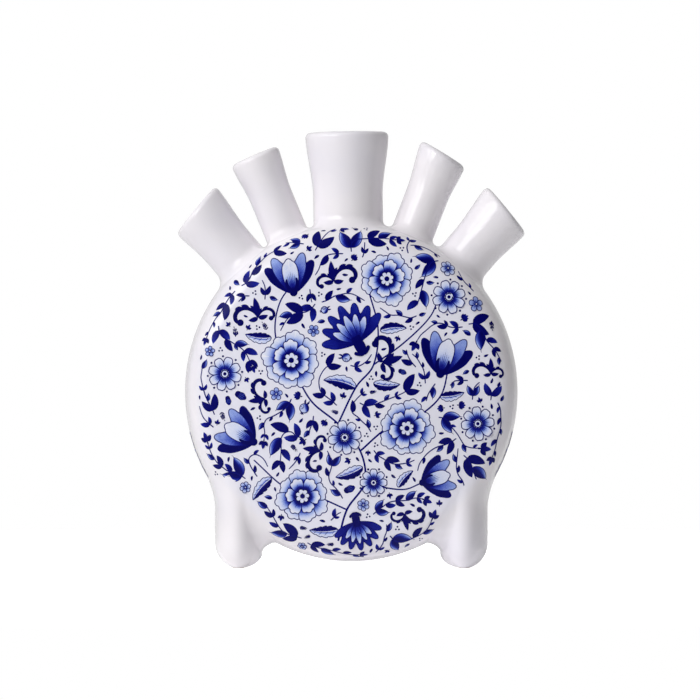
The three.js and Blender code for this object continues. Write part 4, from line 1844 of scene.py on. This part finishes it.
def make_cobalt():
    """Fired cobalt, from a pale wash to navy, by the strength at each point."""
    paint = bpy.data.materials.new("cobalt_paint")
    finish = Finish(paint)
    place = finish.node("ShaderNodeTexCoord").out("Object")
    strength = finish.node("ShaderNodeAttribute", {"attribute_name": "cobalt"}).out("Fac")
    pool = finish.noise(place, pool_waves, 3.0)
    grain = finish.noise(place, grain_waves, 1.0)
    bristle = finish.node("ShaderNodeAttribute", {"attribute_name": "bristle"}).out("Fac")
    along_line = {"noise_dimensions": "1D"}
    marks = finish.node("ShaderNodeTexNoise", along_line, {"W": bristle, "Scale": mark_waves, "Detail": 2.0})
    uneven = (pool - 0.5) * pool_share + (grain - 0.5) * grain_share + (marks - 0.5) * mark_share
    dried = (strength + uneven * (0.35 + strength * (1.25 - strength))).held()
    ramp = finish.node("ShaderNodeValToRGB", {"stops": cobalt_stops}, {"Fac": dried})
    inputs = {
        "Base Color": ramp,
        "Roughness": paint_gloss + finish.noise(place, cloud_waves, 3.0) * glaze_uneven,
        "Specular IOR Level": paint_mirror,
        "IOR": glass_bend,
        "Normal": glaze_bump(finish, place),
    }
    shader = finish.node("ShaderNodeBsdfPrincipled", {}, inputs)
    finish.node("ShaderNodeOutputMaterial", {}, {"Surface": shader})
    return paint


cobalt_paint = make_cobalt()
for piece in painting_pieces:
    piece.data.materials.append(cobalt_paint)
print("painted", len(painting_pieces), "faces with", len(cobalt_stops), "strengths of cobalt")

# %% [markdown]
# ## Floor and background
# The vase stands on a white table that runs out into a white background. The table is a round disc whose
# edge fades away. A camera ray gets some light of the table's own, so that the open table is white, and
# what the vase takes from it stays as a soft shadow.

# %% Floor and background
floor_radius = 0.58      # metres
floor_fade = 0.38        # metres over which its edge goes
floor_glow = 0.22        # light of its own, as from a table that is lit from below
floor_lift = 0.68        # more of it to the camera, so that the open floor is white
mirror_share = 0.1       # how much of the lift a mirror shows
table_whites = colour(240, 240, 240), colour(243, 243, 243)
mottle_waves = 60        # to a metre
floor_segments = 96


def seen_directly(finish):
    """1 for a ray from the camera or through something clear, and less for one off a mirror."""
    path = finish.node("ShaderNodeLightPath")
    straight = path.out("Is Camera Ray") + path.out("Is Transmission Ray")
    return (straight + path.out("Is Glossy Ray") * mirror_share).held()


def make_table_top():
    """Matt white that glows a little and fades away at the edge."""
    table_top = bpy.data.materials.new("white_table")
    finish = Finish(table_top)
    place = finish.node("ShaderNodeTexCoord").out("Object")
    away = finish.vector("LENGTH", place).out("Value")
    tone = finish.mix(finish.noise(place, mottle_waves, 2.0), *table_whites)
    matt = finish.node("ShaderNodeBsdfDiffuse", {}, {"Color": tone})
    glow = floor_glow + seen_directly(finish) * floor_lift
    own = finish.node("ShaderNodeEmission", {}, {"Strength": glow})
    lit = finish.node("ShaderNodeAddShader", {}, {0: matt, 1: own})
    clear = finish.node("ShaderNodeBsdfTransparent")
    fade = ((away - floor_radius + floor_fade) / floor_fade).held()
    surface = finish.node("ShaderNodeMixShader", {}, {0: fade, 1: lit, 2: clear})
    finish.node("ShaderNodeOutputMaterial", {}, {"Surface": surface})
    return table_top


turns = round_turns(floor_segments)
rim = [(cos(turn) * floor_radius, sin(turn) * floor_radius, 0) for turn in turns]
table = bpy.data.meshes.new("table")
table.from_pydata(rim, [], [list(range(floor_segments))])
table.materials.append(make_table_top())
add_object("table", table)
print("the table is", 2 * floor_radius, "metres wide")

# %% [markdown]
# ## Light
# The left flanks are the brightest, the right ones the darkest, every spout has one broad bright stripe
# on its left third, and the underside isn't black. That tells where the lamps hung: a soft box to the
# left of the camera, light bounced off a large sheet high above it, which no mirror shows, a weaker box
# further round to the left, a little light on the edges from behind on the right, and a white table that
# throws light back up. The world adds a pale wall behind the vase. It is plain white to the camera, and
# the room in front of the vase stays dark, which keeps the blue deep in the mirror of the glaze.

# %% Light
wall_light = 0.45        # what the wall behind the vase gives
low_light = 0.60         # what comes from below, past the edge of the table
wall_mirror = 0.60       # the wall, as the glaze mirrors it
ceiling_mirror = 0.15    # the ceiling, in the same way
low_mirror = 0.20        # and what lies past the edge of the table
below_sharpness = -8     # it is fully there for a ray that goes down by one part in eight
lamp_distance = 1.5      # metres from the middle of the vase


def make_world():
    """A dark room with a pale wall behind the vase, plain white to the camera."""
    world = bpy.data.worlds.new("studio")
    bpy.context.scene.world = world
    finish = Finish(world)
    toward = finish.node("ShaderNodeTexCoord").out("Generated")
    axes = finish.node("ShaderNodeSeparateXYZ", {}, {0: toward})
    behind, above = axes.out("Y").held(), axes.out("Z").held()
    below = (axes.out("Z") * below_sharpness).held()
    path = finish.node("ShaderNodeLightPath")
    plain = (path.out("Is Camera Ray") + path.out("Is Transmission Ray")).held()
    mirrored = path.out("Is Glossy Ray") * (1 - plain)
    mirror = behind * wall_mirror + above * ceiling_mirror + below * low_mirror
    given = behind * wall_light + below * low_light
    strength = plain + mirrored * mirror + (1 - plain) * (1 - mirrored) * given
    light = finish.node("ShaderNodeBackground", {}, {"Color": (1, 1, 1, 1), "Strength": strength})
    finish.node("ShaderNodeOutputWorld", {}, {"Surface": light})


def add_lamp(name, around, up, width, height, power, mirrored=True):
    """A soft box that faces the vase, this many degrees round from the camera and up."""
    lamp = bpy.data.lights.new(name, "AREA")
    lamp.shape = "RECTANGLE"
    lamp.size, lamp.size_y = width, height
    lamp.energy = power
    holder = add_object(name, lamp)
    around, up = radians(around), radians(up)
    way = Vector((sin(around) * cos(up), -cos(around) * cos(up), sin(up)))
    holder.location = way * lamp_distance + Vector((0, 0, camera.location.z))
    holder.rotation_euler = way.to_track_quat("Z", "Y").to_euler()
    holder.visible_glossy = mirrored
    print(name, "at", [round(x, 2) for x in holder.location], power, "W")


make_world()
# Degrees round and up, width and height in metres, and power in watts
add_lamp("high_sheet", -38, 55, 1.3, 1.2, 12.5, mirrored=False)
add_lamp("soft_box", -38, 24, 0.6, 0.8, 7.2)
add_lamp("left_box", -65, 27, 0.6, 0.6, 3.4)
add_lamp("right_edge", 118, 8, 1.0, 0.7, 2.2, mirrored=False)
bpy.context.scene.view_settings.view_transform = "Standard"
